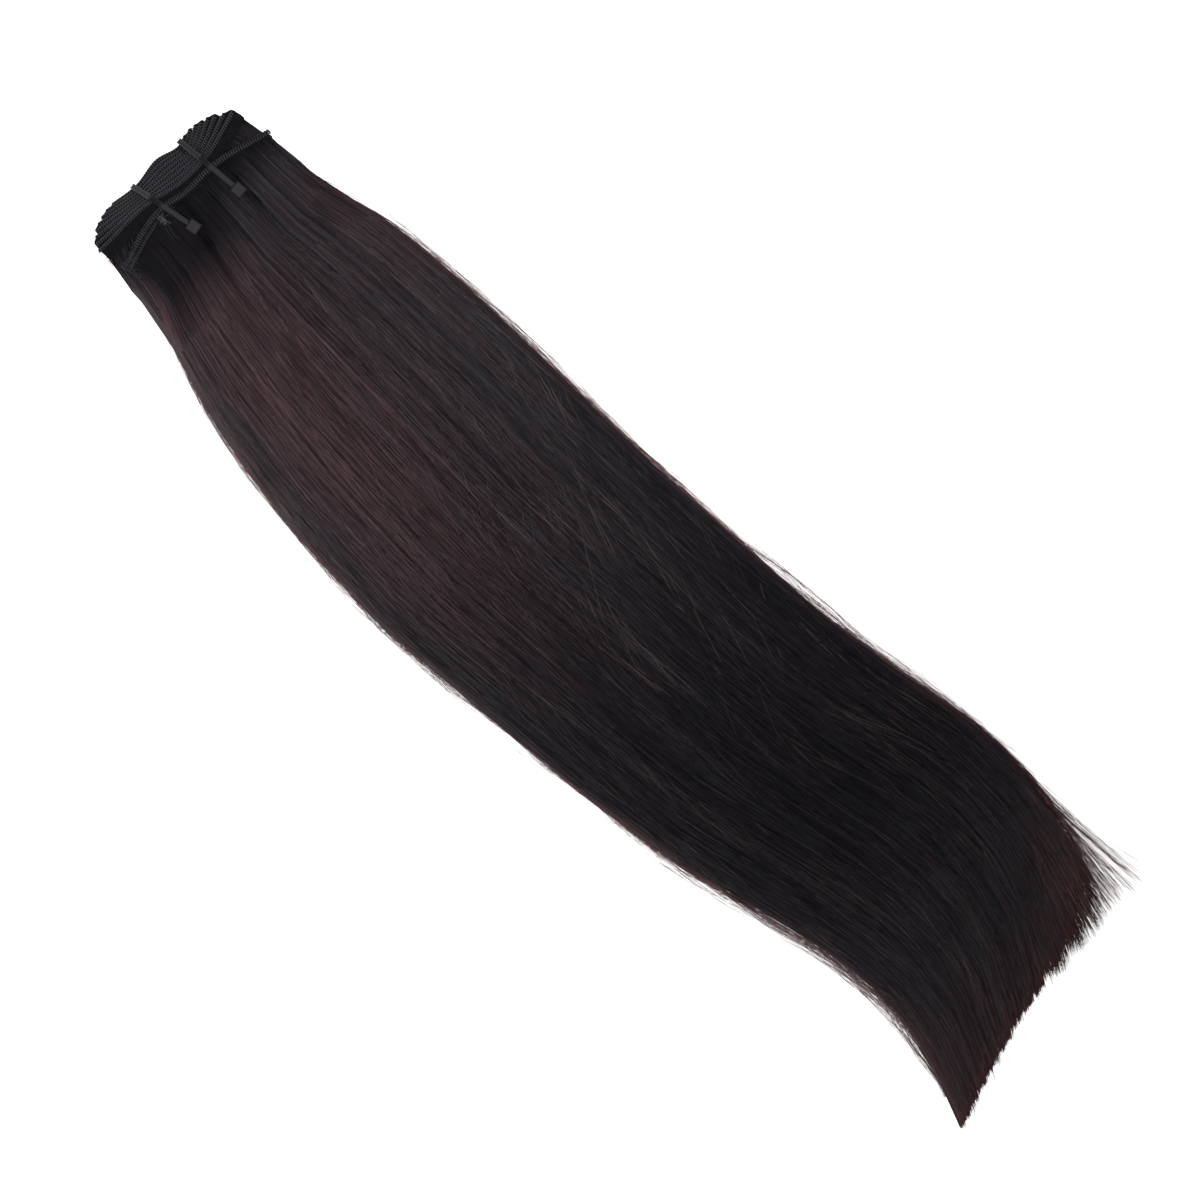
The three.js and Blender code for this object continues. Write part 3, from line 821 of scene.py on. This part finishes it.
def edge_strands(seed, count, stations=11, wisps=170):
    rng = np.random.default_rng(seed)
    column = (count, 1)
    wisp = rng.integers(0, wisps, count)
    side = np.where(np.arange(wisps) % 2, 1.0, -1.0)[wisp][:, None]
    begin = np.maximum(470 * rng.random(wisps)[wisp][:, None] ** 0.85 + rng.normal(8, 8, column), 14)
    last = np.where(side > 0, rng.uniform(*RIGHT_LAST, column), LEFT_LAST)
    begin = np.minimum(begin, last - 40)
    length = rng.uniform(40, 150, wisps)[wisp][:, None] * rng.uniform(0.7, 1.2, column)
    length = np.minimum(length, last - begin)
    run = even_run(stations)
    fall = begin + length * run
    off = rng.exponential(1.9, wisps)[wisp][:, None] * rng.uniform(0.2, 1.2, column) + 0.5
    off = np.minimum(off * np.where(begin > np.where(side > 0, 200, 320), 1.6, 1.0), MOST_OFF)
    free = (rng.random(wisps) < 0.4)[wisp][:, None]
    away = np.where(free, 0.6 * run**1.6, np.sin(math.pi * run) ** 1.4)
    fringe = np.where(side < 0, 3.6, 4.6) * fringed(fall, side) * rng.random(column)
    off = off * away - 0.6 - rng.uniform(0, 1.5, column) * (1 - run) - fringe
    x = hair_x(fall, side) + side * off
    low = rng.uniform(0.1, 1.0, column) * ease(fall, 30, 110) * ease(run, 0, 1)
    z = along("base", fall) + 0.4 + (along("rim", np.maximum(fall, FIRST_FALL)) - 0.4) * (1 - low)
    points = np.stack([x, HEM_Y - fall, z], axis=-1)
    colours = tones(rng, fall, side + 0 * fall, wisp)
    # Painted light through thin hair: these get the palest, warmest colours.
    for title, least, most in (("warmth", 0.7, 1.0), ("tone", 0.5, 1.0), ("glint", 0.2, 0.9)):
        colours[title] = rng.uniform(least, most, column) + 0 * fall
    return {"points": points, "width": thickness(rng, stations, count, 0.09, 0.19), **colours}


pieces.append(sweep("hair_edges", edge_strands(seed=32, count=1400)))

# %% [markdown]
# At the left ends of the upper layers a few short hairs have come loose from the sewing and stand out. A
# handful of bent lines with random ends is enough for them.

# %% Short hairs at the layers' ends
# How far they stand out along X, Y and Z: the least and the most of each.
SHORT_REACH = ((-4.5, -1.0), (-5, 0.5), (-1.5, 0.5))


def short_hairs(seed, count, stations=5):
    rng = np.random.default_rng(seed)
    layer = rng.integers(FRONT - 4, FRONT, count)
    heights = rng.uniform(4.5, 8.5, count)
    root = np.array([weft_point(k, np.float64(-0.99), height) for k, height in zip(layer, heights)])
    out = np.stack([rng.uniform(least, most, count) for least, most in SHORT_REACH], axis=-1)
    run = even_run(stations)[..., None]
    bend = rng.normal(0, 0.5, (count, 1, 3)) * np.sin(math.pi * run)
    pale = rng.random((count, 1)) ** 1.5 * np.ones((1, stations))
    return {
        "points": root[:, None] + out[:, None] * run + bend,
        "width": thickness(rng, stations, count, 0.09, 0.16),
        "tone": 0.3 + 0.7 * pale,
        "warmth": 0.3 + 0 * pale,
        "tip": 0.5 + 0.5 * pale,
        "glint": 0.6 * pale,
    }


pieces.append(sweep("hair_short", short_hairs(seed=35, count=60)))

# %% [markdown]
# At the right corner the hair turns in, and the outermost hairs don't follow: they run straight on past
# the edge and fan out in tufts, some of them pale where light shines through.

# %% Hairs at the right corner
CORNER_END = 511
FAN = {"start": 448, "length": 62, "reach": 17}


def corner_strands(seed, count, stations=10, tufts=70):
    rng = np.random.default_rng(seed)
    column = (count, 1)
    tuft = rng.integers(0, tufts, count)
    outer = rng.random(tufts)[tuft][:, None] + rng.normal(0, 0.03, column)
    share = 0.5 + 0.51 * outer
    ragged = rng.normal(0, 1.5, tufts)[tuft][:, None]
    cut = ragged + rng.exponential(2.5 + 3 * np.maximum(outer, 0) ** 2)
    fall = stations_to(rng.uniform(370, 440, column), CORNER_END - np.clip(cut, -1, 50), stations, 4.0)
    run = even_run(stations)
    fanned = np.maximum(0, (fall - FAN["start"]) / FAN["length"]) ** 1.5
    past = FAN["reach"] * np.maximum(outer, 0) ** 3 * fanned
    bowed = rng.normal(0, 1.0, column) * np.sin(math.pi * run)
    x = hair_x(fall, share) + past + bowed
    z = 0.5 + rng.uniform(0.2, 4.0, column) * (1 - 0.6 * run)
    colours = tones(rng, fall, 1 + 0 * fall, tuft)
    # Painted light through thin hair: some tufts turn paler and warmer towards the corner.
    pale = np.clip(rng.uniform(-0.2, 1.1, tufts)[tuft][:, None] + rng.normal(0, 0.12, column), 0, 1)
    colours["tip"] = pale * ease(fall, 420, 480) * np.clip(0.5 + 0.6 * outer, 0, 1)
    colours["glint"] = 0.7 * pale**2 * ease(fall, 430, 490) * np.clip(1.3 * outer, 0, 1)
    points = np.stack([x, HEM_Y - fall, z], axis=-1)
    return {"points": points, "width": thickness(rng, stations, count, 0.09, 0.19), **colours}


pieces.append(sweep("hair_corner", corner_strands(seed=33, count=780)))

# %% [markdown]
# Across the top lie short lengths of hair that caught on others, alone or in tufts, at a low angle to them.
# They rise out of the surface and dip back into it, and catch the light in their middle. In the middle of
# the bundle one lock lies more steeply across, so the tufts there do too.

# %% Stray hairs
STRAY_FALLS, STRAY_SHARES = (30, 480), (-0.94, 0.94)


def stray_strands(seed, count, stations=6, tufts=230):
    rng = np.random.default_rng(seed)
    column = (count, 1)
    tuft = rng.integers(0, tufts, count)
    alone = rng.random(column) < 0.3

    def drawn(draw, spread):
        """A value for each hair: its own where it lies alone, and close to that of its tuft elsewhere."""
        shared = draw((tufts, 1))[tuft] + rng.normal(0, spread, column)
        return np.where(alone, draw(column), shared)

    begin = np.clip(drawn(lambda size: rng.uniform(*STRAY_FALLS, size), 11), *STRAY_FALLS)
    length = np.minimum(9 + 55 * rng.random(column) ** 2, 500 - begin)
    run = even_run(stations)
    fall = begin + length * run
    share = np.clip(drawn(lambda size: rng.uniform(*STRAY_SHARES, size), 0.022), *STRAY_SHARES)
    steep = ease(begin, 110, 170) * (1 - ease(begin, 300, 350)) * ease(share, -0.5, 0.1)
    across = drawn(lambda size: rng.normal(0.05, 0.11, size), 0.025)
    across = across + 0.45 * steep * drawn(lambda size: rng.random(size) ** 1.6, 0.05)
    where = np.clip(share - across * (fall - begin - length / 2) / 60, -0.98, 0.98)
    points = combed(fall, where, -0.4 + 1.9 * np.abs(2 * run - 1) ** 5)
    light, red = regional(fall, where)
    # Painted highlight: tone and glint peak in the middle of each hair.
    middle = np.sin(math.pi * run) ** 0.8
    tone = np.clip((light + 0.2 + 0.3 * rng.random(column)) * middle, 0, 1)
    warmth = np.clip(red + rng.normal(0, 0.2, column), 0, 1)
    lit = drawn(lambda size: rng.random(size) ** 2, 0.1) * rng.random(column) ** 1.3
    glint = np.clip((0.75 + 0.5 * steep) * lit, 0, 0.9) * middle
    width = thickness(rng, stations, count, 0.16, 0.32)
    return {"points": points, "width": width, "tone": tone, "warmth": warmth, "tip": 0 * tone, "glint": glint}


pieces.append(sweep("hair_stray", stray_strands(seed=34, count=3000)))

# %% [markdown]
# ## Sewing on the weft
# The track is black cloth, and spun polyester thread is sewn over it. Both are matt: fibres scatter light,
# so neither shows a highlight, and what tells them apart is the thread's round, twisted form against the
# flat, darker weave.

# %% Thread and cloth materials
def thread_material():
    # Twisted fibres: grey and matt, with painted shade in the furrows between the plies, where the noise is
    # low and the bump sinks.
    material, tree, shader = new_material("black_polyester_thread")
    place = add(tree, "ShaderNodeTexCoord").outputs["Object"]
    # Spun thread has a ply about 0.5 mm long, drawn here at 0.8 mm so that it shows.
    ply = add(tree, "ShaderNodeTexNoise", {"Vector": place, "Scale": 1 / (0.8 * MM), "Detail": 3.0})
    shades = {0: ply.outputs["Fac"], 6: linear("#1c1b20"), 7: linear("#47454e")}
    colour = add(tree, "ShaderNodeMix", shades, data_type="RGBA")
    bump = add(tree, "ShaderNodeBump", {"Strength": 0.5, "Distance": 0.2 * MM, "Height": ply.outputs["Fac"]})
    fill(tree, shader, {
        "Base Color": colour.outputs[2],
        "Normal": bump.outputs["Normal"],
        "Roughness": 0.75,
        "Specular IOR Level": 0.3,
    })
    return material


def cloth_material():
    # Woven black: almost no light comes back, and painted shade makes the gaps between threads darkest.
    material, tree, shader = new_material("black_woven_track")
    place = add(tree, "ShaderNodeTexCoord").outputs["Object"]
    # The weave of the track is about 0.4 mm, drawn here at 0.9 mm so that it shows.
    weave = add(tree, "ShaderNodeTexVoronoi", {"Vector": place, "Scale": 1 / (0.9 * MM)})
    shades = {0: weave.outputs["Distance"], 6: linear("#1b1a1f"), 7: linear("#09090b")}
    colour = add(tree, "ShaderNodeMix", shades, data_type="RGBA")
    fill(tree, shader, {"Base Color": colour.outputs[2], "Roughness": 0.9, "Specular IOR Level": 0.1})
    return material


thread, cloth = thread_material(), cloth_material()
for node in ("weft_stack", "weft_front"):
    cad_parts[node].data.materials.clear()
    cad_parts[node].data.materials.append(cloth)
print("made", thread.name, "and", cloth.name)

# %% [markdown]
# Every layer's edge is overcast: thread goes round and round it, so that the edge looks like a cord. Stitches
# repeat along a path, which is what Geometry Nodes are good at: one bent tube is made once and set
# along every edge, turned to follow it. The tree that sets things along a line also serves the teeth of
# the ties later on.

# %% Tree that sets stitches along a line
def set_along(tree, start, shape, attribute, axis):
    """Sets a small shape along lines, one axis along the line and one along an attribute of its points."""
    lines = add(tree, "GeometryNodeMeshToCurve", {"Mesh": start["Geometry"]})
    spots = add(tree, "GeometryNodeResampleCurve", {
        "Curve": lines.outputs["Curve"], "Length": start["Pitch"],
    }, mode="LENGTH")
    facing = add(tree, "GeometryNodeInputNamedAttribute", {"Name": attribute}, data_type="FLOAT_VECTOR")
    run = add(tree, "GeometryNodeInputTangent")
    turn = add(tree, "FunctionNodeAxesToRotation", {
        "Primary Axis": run.outputs["Tangent"], "Secondary Axis": facing.outputs["Attribute"],
    }, primary_axis="Z", secondary_axis=axis)
    placed = add(tree, "GeometryNodeInstanceOnPoints", {
        "Points": spots.outputs["Curve"], "Instance": shape, "Rotation": turn.outputs["Rotation"],
    })
    return end_tree(tree, placed.outputs["Instances"], start["Finish"])


def stitch_tree():
    sizes = dict.fromkeys(("Pitch", "Thread", "Reach", "Rise", "Start", "Sweep", "Slant"), "Float")
    tree, start = new_tree("overcast_edge", **sizes, Finish="Material")
    arc = add(tree, "GeometryNodeCurveArc", {
        "Resolution": 8, "Radius": 1.0, "Start Angle": start["Start"], "Sweep Angle": start["Sweep"],
    }, mode="RADIUS")
    size = add(tree, "ShaderNodeCombineXYZ", {"X": start["Reach"], "Y": start["Rise"], "Z": 1.0})
    bent = add(tree, "GeometryNodeTransform", {
        "Geometry": arc.outputs["Curve"], "Scale": size.outputs["Vector"],
    })
    ring = add(tree, "GeometryNodeCurvePrimitiveCircle", {"Resolution": 5, "Radius": start["Thread"]})
    tube = add(tree, "GeometryNodeCurveToMesh", {
        "Curve": bent.outputs["Geometry"], "Profile Curve": ring.outputs["Curve"], "Fill Caps": True,
    })
    smooth = add(tree, "GeometryNodeSetShadeSmooth", {"Geometry": tube.outputs["Mesh"]})
    lean = add(tree, "ShaderNodeCombineXYZ", {"X": start["Slant"]})
    stitch = add(tree, "GeometryNodeTransform", {
        "Geometry": smooth.outputs["Geometry"], "Rotation": lean.outputs["Vector"],
    })
    return set_along(tree, start, stitch.outputs["Geometry"], "down", "X")


STITCH_TREE = stitch_tree()

# %% [markdown]
# The edges of the stack and of the front strip get the same stitch in two sizes: the front strip's reaches
# further down its face, as an overlocked hem does.

# %% Overcast the edges
def sew(name, layers, height, lift=0.0, **sizes):
    """Stitches along the layers, at a height below their sewn edge."""
    rows = [weft_edge(layer) for layer in layers]
    edges = np.array([edge + down * height + np.array([0, 0, lift]) for edge, down in rows])
    obj = new_object(name, lines_mesh(name, edges, down=np.array([down for _, down in rows])))
    return run_tree(obj, STITCH_TREE, Finish=thread, **sizes)


overcast = {"Pitch": 1.2 * MM, "Thread": 0.5 * MM, "Reach": 1.0 * MM, "Rise": 1.0 * MM, "Slant": 0.8}
overcast.update(Start=math.radians(70), Sweep=math.radians(220))
stitches = [sew("weft_stack_overcast", range(FRONT), 1.0, **overcast)]
overlocked = {**overcast, "Reach": 1.6 * MM, "Thread": 0.42 * MM, "Slant": 0.5}
stitches.append(sew("weft_front_overcast", [FRONT], 1.6, **overlocked))

# %% [markdown]
# The rows on the face of the front strip are flatter. They use the same tree with a wide, low arc, so that
# each stitch is a short bar that dips into the cloth at both ends, and they slant the other way row by row.

# %% Rows on the front strip
FACE_LIFT = 0.65
bars = {"Pitch": 1.2 * MM, "Thread": 0.26 * MM, "Reach": 0.6 * MM, "Rise": 0.5 * MM}
bars.update(Start=math.pi, Sweep=math.pi)
for number, (height, slant) in enumerate(((3.5, -0.5), (4.4, 0.5))):
    stitches.append(sew(f"weft_front_row_{number}", [FRONT], height, FACE_LIFT, Slant=slant, **bars))

# %% [markdown]
# The thread was torn off beside the left tie and at the left end of the strip, where it frays into pale
# fluff. A few thin lines stand for it: a small brush by the tie with longer threads that trail from it
# over the strip, and short loops at the end. The strands' own tree sweeps them.

# %% Frayed thread
def frayed_material():
    # Loose fibres without a twist: paler than the sewn thread, and matt.
    material, tree, shader = new_material("frayed_grey_thread")
    place = add(tree, "ShaderNodeTexCoord").outputs["Object"]
    # Fibres part and gather about every 1.5 mm.
    fluff = add(tree, "ShaderNodeTexNoise", {"Vector": place, "Scale": 1 / (1.5 * MM)})
    shades = {0: fluff.outputs["Fac"], 6: linear("#232224"), 7: linear("#6f6c6a")}
    colour = add(tree, "ShaderNodeMix", shades, data_type="RGBA")
    fill(tree, shader, {"Base Color": colour.outputs[2], "Roughness": 0.8})
    return material


def threads_between(rng, starts, finishes, bend, stations=8):
    """Curved lines from one set of points to another, with a random bend in plan."""
    t = even_run(stations)[..., None]
    size = (len(starts), 1, 3)
    side = rng.normal(0, bend, size) * (1, 1, 0.3) * np.sin(math.pi * t)
    wave = rng.normal(0, bend / 2, size) * (1, 1, 0.3) * np.sin(2 * math.pi * t)
    return starts[:, None] + (finishes - starts)[:, None] * t + side + wave


def fray(name, lines, width, finish):
    obj = new_object(name, lines_mesh(name, lines, width=width))
    return run_tree(obj, STRAND_TREE, Sides=4, Thickness=MM, Finish=finish)


BRUSH, TRAILS, LOOPS = 30, 5, 90
rng = np.random.default_rng(41)
knot = np.array([-10.6, HEM_Y + 3.6, layer_z(FRONT) + 1.5])
brush = knot + rng.normal(0, (0.7, 1.2, 0.1), (BRUSH, 3))
tail = knot + rng.normal(0, (0.5, 0.7, 0.1), (TRAILS, 3))
trailed = (-12.6, HEM_Y - 7.0, layer_z(FRONT) + 0.9) + rng.normal(0, (1.2, 2.5, 0.2), (TRAILS, 3))
lines = np.concatenate([
    threads_between(rng, brush, brush + rng.normal(0, (0.8, 1.5, 0.25), (BRUSH, 3)), 0.4),
    threads_between(rng, tail, trailed, 0.6),
])
width = np.concatenate([rng.uniform(0.14, 0.28, BRUSH), rng.uniform(0.05, 0.09, TRAILS)])[:, None]
stitches.append(fray("frayed_brush", lines, width, frayed_material()))
torn = weft_point(FRONT, rng.uniform(-1.0, -0.88, LOOPS), rng.uniform(0.3, 7.0, LOOPS), 1.1)
loose = torn + rng.normal(0, (0.9, 1.1, 0.12), (LOOPS, 3)) + (-0.3, -0.4, 0.05)
loops = threads_between(rng, torn, loose, 0.9)
stitches.append(fray("frayed_end", loops, rng.uniform(0.1, 0.18, (LOOPS, 1)), thread))

# %% [markdown]
# ## Cable ties
# A cable tie is moulded in black nylon: a strap with a raised rail along each edge and teeth across between
# them, and a square head whose pawl holds the teeth. Nylon from a mould is satin: a soft highlight, broken
# up by the fine texture of the steel it was moulded in.

# %% Nylon material
def nylon_material():
    # Moulded nylon: almost black, with one soft highlight that the grain breaks up.
    material, tree, shader = new_material("black_moulded_nylon")
    place = add(tree, "ShaderNodeTexCoord").outputs["Object"]
    # A mould's fine texture is about 0.1 mm, drawn here at 0.4 mm so that it shows.
    grain = add(tree, "ShaderNodeTexNoise", {"Vector": place, "Scale": 1 / (0.4 * MM), "Detail": 2.0})
    speck = grain.outputs["Fac"]
    shades = {0: speck, 6: linear("#101015"), 7: linear("#1c1c24")}
    colour = add(tree, "ShaderNodeMix", shades, data_type="RGBA")
    rough = add(tree, "ShaderNodeMapRange", {"Value": speck, "To Min": 0.5, "To Max": 0.65})
    bump = add(tree, "ShaderNodeBump", {"Strength": 0.25, "Distance": 0.05 * MM, "Height": speck})
    fill(tree, shader, {
        "Base Color": colour.outputs[2],
        "Roughness": rough.outputs["Result"],
        "Normal": bump.outputs["Normal"],
        "IOR": 1.53,
        "Specular IOR Level": 0.25,
    })
    return material


nylon = nylon_material()
print("made", nylon.name)

# %% [markdown]
# The strap follows the same loop as the solid: up through the hair, over the front strip, down the slope
# of the stack and back under it. The loop is worked out in the tie's own plane, as falls and heights, and
# then leaned to one side as the tie leans.

# %% Loop of a tie
STRAP_SECTION = [
    (-1.25, 0.2), (-1.05, 0.0), (1.05, 0.0), (1.25, 0.2), (1.25, 0.95), (1.12, 1.1),
    (0.84, 1.1), (0.72, 0.85), (-0.72, 0.85), (-0.84, 1.1), (-1.12, 1.1), (-1.25, 0.95),
]
STRAP_THICKNESS, SEAT, BEND_RADIUS = 1.1, 0.85, 1.0


def offset_loop(corners, distance):
    """A closed outline moved outwards by a distance, with sharp corners."""
    into = corners - np.roll(corners, 1, 0)
    into /= np.linalg.norm(into, axis=1)[:, None]
    onward = np.roll(into, -1, 0)
    mitre = np.stack([into[:, 1] + onward[:, 1], -into[:, 0] - onward[:, 0]], axis=-1)
    return corners + mitre * (distance / (1 + (into * onward).sum(axis=1)))[:, None]


def loop_corners(tie):
    """Inner corners of the loop as (fall, height): up, over the front strip, down the stack, and under."""
    layers = (FRONT, FRONT - 1, 0)
    over = [(-back_at(tie["place"], layer), layer_z(layer) + TRACK_THICKNESS / 2) for layer in layers]
    front, under = tie["reach"] - STRAP_THICKNESS / 2 - SEAT, STRAP_THICKNESS + SEAT
    return offset_loop(np.array([(front, under), (front, over[0][1]), *over, (over[-1][0], under)]), SEAT)


def rounded_loop(corners, radius, steps=6):
    """Points round a closed outline whose corners are rounded."""
    points = []
    for before, corner, after in zip(np.roll(corners, 1, 0), corners, np.roll(corners, -1, 0)):
        start = corner + (before - corner) / np.linalg.norm(before - corner) * radius
        finish = corner + (after - corner) / np.linalg.norm(after - corner) * radius
        t = np.linspace(0, 1, steps)[:, None]
        points.append((1 - t) ** 2 * start + 2 * t * (1 - t) * corner + t * t * finish)
    return np.concatenate(points)


def tie_frame(tie, local):
    """Points given as (across, fall, height) of a tie, in the part's frame."""
    turn = math.radians(tie["lean"])
    across, fall, height = local[..., 0], local[..., 1], local[..., 2]
    x = tie["x"] + across * math.cos(turn) + fall * math.sin(turn)
    y = HEM_Y + across * math.sin(turn) - fall * math.cos(turn)
    return np.stack([x, y, height], axis=-1)


print("strap is", STRAP_SECTION[3][0] - STRAP_SECTION[0][0], "mm wide")

# %% [markdown]
# A section with two rails is carried along the loop to make the strap. The head is a bevelled block with a
# pocket on top, and the tail, cut off just above it, stands in the pocket. They are plain boxes, so bmesh
# makes them quickly.

# %% Strap and head
HEAD = {"size": (4.7, 4.7), "low": 0.0, "high": 3.3, "pocket": 0.55, "bevel": 0.35}
TAIL = {"size": (2.4, 1.0), "low": 1.5, "high": 4.1, "pocket": 0.0, "bevel": 0.12}
POCKET_WALL = 0.75


def strap_mesh(tie):
    path = rounded_loop(loop_corners(tie), BEND_RADIUS)
    run = np.roll(path, -1, 0) - np.roll(path, 1, 0)
    run /= np.linalg.norm(run, axis=1)[:, None]
    out = np.stack([run[:, 1], -run[:, 0]], axis=-1)
    section = np.array(STRAP_SECTION)
    spot = path[:, None, :] + out[:, None, :] * section[None, :, 1:]
    across = np.broadcast_to(section[None, :, :1], spot.shape[:2] + (1,))
    rings = tie_frame(tie, np.concatenate([across, spot], axis=-1))
    count, sides = rings.shape[:2]
    a = np.arange(count)[:, None] * sides + np.arange(sides)
    b = np.roll(a, -1, 1)
    quads = np.stack([a, np.roll(a, -1, 0), np.roll(b, -1, 0), b], axis=-1).reshape(-1, 4)
    made = bmesh.new()
    verts = [made.verts.new(p * MM) for p in rings.reshape(-1, 3)]
    for quad in quads:
        made.faces.new([verts[i] for i in quad])
    return made


def head_blocks(made, tie):
    """The square head with its pocket on top, and the cut end of the tail in it."""
    seat = loop_corners(tie)[1, 1]
    for block in (HEAD, TAIL):
        low, high = seat + block["low"], seat + block["high"]
        box = bmesh.ops.create_cube(made, size=1.0)["verts"]
        corners = np.array([vert.co[:] for vert in box])
        local = corners * (*block["size"], high - low) + (0, tie["reach"], (low + high) / 2)
        for vert, place in zip(box, tie_frame(tie, local)):
            vert.co = place * MM
        faces = {face for vert in box for face in vert.link_faces}
        lid = max(faces, key=lambda face: face.calc_center_median().z)
        edges = list(dict.fromkeys(edge for vert in box for edge in vert.link_edges))
        if block["pocket"]:
            bmesh.ops.inset_individual(made, faces=[lid], thickness=POCKET_WALL * MM, depth=0.0)
            bmesh.ops.translate(made, verts=list(lid.verts), vec=(0, 0, -block["pocket"] * MM))
        bmesh.ops.bevel(
            made, geom=edges, offset=block["bevel"] * MM, segments=2, affect="EDGES", profile=0.6
        )


def tie_piece(tie):
    made = strap_mesh(tie)
    head_blocks(made, tie)
    bmesh.ops.recalc_face_normals(made, faces=made.faces[:])
    mesh = bpy.data.meshes.new(tie["name"] + "_strap")
    made.to_mesh(mesh)
    made.free()
    mesh.materials.append(nylon)
    return new_object(mesh.name, mesh)


straps = {tie["name"]: tie_piece(tie) for tie in TIES}
print("ties:", [triangles(obj) for obj in straps.values()], "triangles")

# %% [markdown]
# The teeth are bars between the rails. They repeat along the strap, so the tree that sets stitches along a
# line sets them too, with a small box in place of the bent tube.

# %% Teeth on the straps
TOOTH_SHARE = 0.55


def teeth_tree():
    tree, start = new_tree("strap_teeth", Pitch="Float", Length="Float", Height="Float", Finish="Material")
    tooth = add(tree, "ShaderNodeMath", {0: start["Pitch"], 1: TOOTH_SHARE}, operation="MULTIPLY")
    size = add(tree, "ShaderNodeCombineXYZ", {
        "X": start["Length"], "Y": start["Height"], "Z": tooth.outputs["Value"],
    })
    bar = add(tree, "GeometryNodeMeshCube", {"Size": size.outputs["Vector"]})
    return set_along(tree, start, bar.outputs["Mesh"], "out", "Y")


TEETH_TREE = teeth_tree()


def teeth_piece(tie):
    corners = loop_corners(tie)
    runs = (corners[1] + (-3.2, 0), *corners[2:5])
    path = np.concatenate([np.linspace(a, b, 20)[:-1] for a, b in zip(runs, runs[1:])])
    run = np.gradient(path, axis=0)
    run /= np.linalg.norm(run, axis=1)[:, None]
    out = np.stack([0 * run[:, 0], run[:, 1], -run[:, 0]], axis=-1)
    local = np.concatenate([np.zeros((len(path), 1)), path + out[:, 1:] * 0.9], axis=1)
    away = tie_frame(tie, local + out) - tie_frame(tie, local)
    name = tie["name"] + "_teeth"
    obj = new_object(name, lines_mesh(name, tie_frame(tie, local)[None], out=away[None]))
    return run_tree(obj, TEETH_TREE, Pitch=0.95 * MM, Length=1.46 * MM, Height=0.22 * MM, Finish=nylon)


teeth = [teeth_piece(tie) for tie in TIES]

# %% [markdown]
# ## Everything rides on the part
# The part has no joints, so each piece rides on its one body. The hair mass stands for the hair solid and
# the straps for the ties. The tracks keep their solids, which now show between the stitches.

# %% Attach the pieces
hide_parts("hair_fall")
for name, strap in straps.items():
    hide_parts(name)
groups = {"hair": [mass, *pieces], "sewn_weft": stitches, "nylon": [*straps.values(), *teeth]}
for slot, group in groups.items():
    for obj in group:
        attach(obj, "root")
print("pieces:", {slot: len(group) for slot, group in groups.items()})

# %% [markdown]
# ## Surface, light and camera
# The bundle lies on white card, so bright that it hardly shows a shadow. A plain sheet with a little light
# of its own gives that, and it is only a stage: it isn't part of the object.

# %% Floor
FLOOR_HALF, FLOOR_GAP = 3.0, 0.0004


def floor_piece():
    mesh = bpy.data.meshes.new("white_surface")
    corners = [(-1, -1), (1, -1), (1, 1), (-1, 1)]
    mesh.from_pydata([(x * FLOOR_HALF, y * FLOOR_HALF, 0) for x, y in corners], [], [(0, 1, 2, 3)])
    # Card is matt and nearly white all over, so its glow has no colour.
    material, tree, shader = new_material("white_card")
    fill(tree, shader, {
        "Base Color": linear("#f7f7f7"),
        "Roughness": 0.9,
        "Emission Color": linear("#ffffff"),
        "Emission Strength": 1.0,
    })
    mesh.materials.append(material)
    obj = new_object("white_surface", mesh)
    obj.location.z = -FLOOR_GAP
    return obj


print("floor:", floor_piece().name)

# %% [markdown]
# A glossy dark thing shows every light in it, so most light comes in along the strands, where they can't
# send it up to the camera, and one soft lamp stands where its sheen falls on the upper half of the hair.

# %% Lights
LAMPS = {
    "along_the_weft": {"place": (0.0, 2.0, 1.5), "target": (0, 0, 0), "size": (2.0, 1.0), "watts": 4},
    "along_the_ends": {"place": (0.0, -2.0, 1.5), "target": (0, 0, 0), "size": (2.0, 1.0), "watts": 4},
    "sheen": {"place": (-0.02, 0.16, 0.6), "target": (0, 0.13, 0), "size": (0.4, 0.2), "watts": 3.0},
}
for name, lamp in LAMPS.items():
    data = bpy.data.lights.new(name, "AREA")
    data.shape = "RECTANGLE"
    data.size, data.size_y = lamp["size"]
    data.energy = lamp["watts"]
    light = new_object(name, data)
    light.location = lamp["place"]
    toward = Vector(lamp["target"]) - Vector(lamp["place"])
    light.rotation_euler = toward.to_track_quat("-Z", "Y").to_euler()
world = bpy.data.worlds.new("pale_studio")
world.use_nodes = True
sky = {"Color": linear("#f4f4f6"), "Strength": 0.08}
fill(world.node_tree, world.node_tree.nodes["Background"], sky)
bpy.context.scene.world = world
print("lamps:", ", ".join(LAMPS))

# %% [markdown]
# The camera hangs straight above with a long lens, so the bundle shows almost without perspective, and it
# is turned so that the bundle lies from the upper left to the lower right.

# %% Camera
FIELD_MM, LENS, SENSOR = 528.0, 250.0, 36.0
TURN_DEGREES = -46.55
camera_data = bpy.data.cameras.new("from_above")
camera_data.lens = LENS
camera_data.sensor_width = SENSOR
camera_data.sensor_fit = "HORIZONTAL"
camera = new_object("from_above", camera_data)
camera.location = (-0.0003, -0.0035, 0.012 + FIELD_MM * MM * LENS / SENSOR)
camera.rotation_euler = (0, 0, math.radians(TURN_DEGREES))
bpy.context.scene.camera = camera
bpy.context.scene.view_settings.view_transform = "Standard"
print("camera is", round(camera.location.z, 2), "m up")
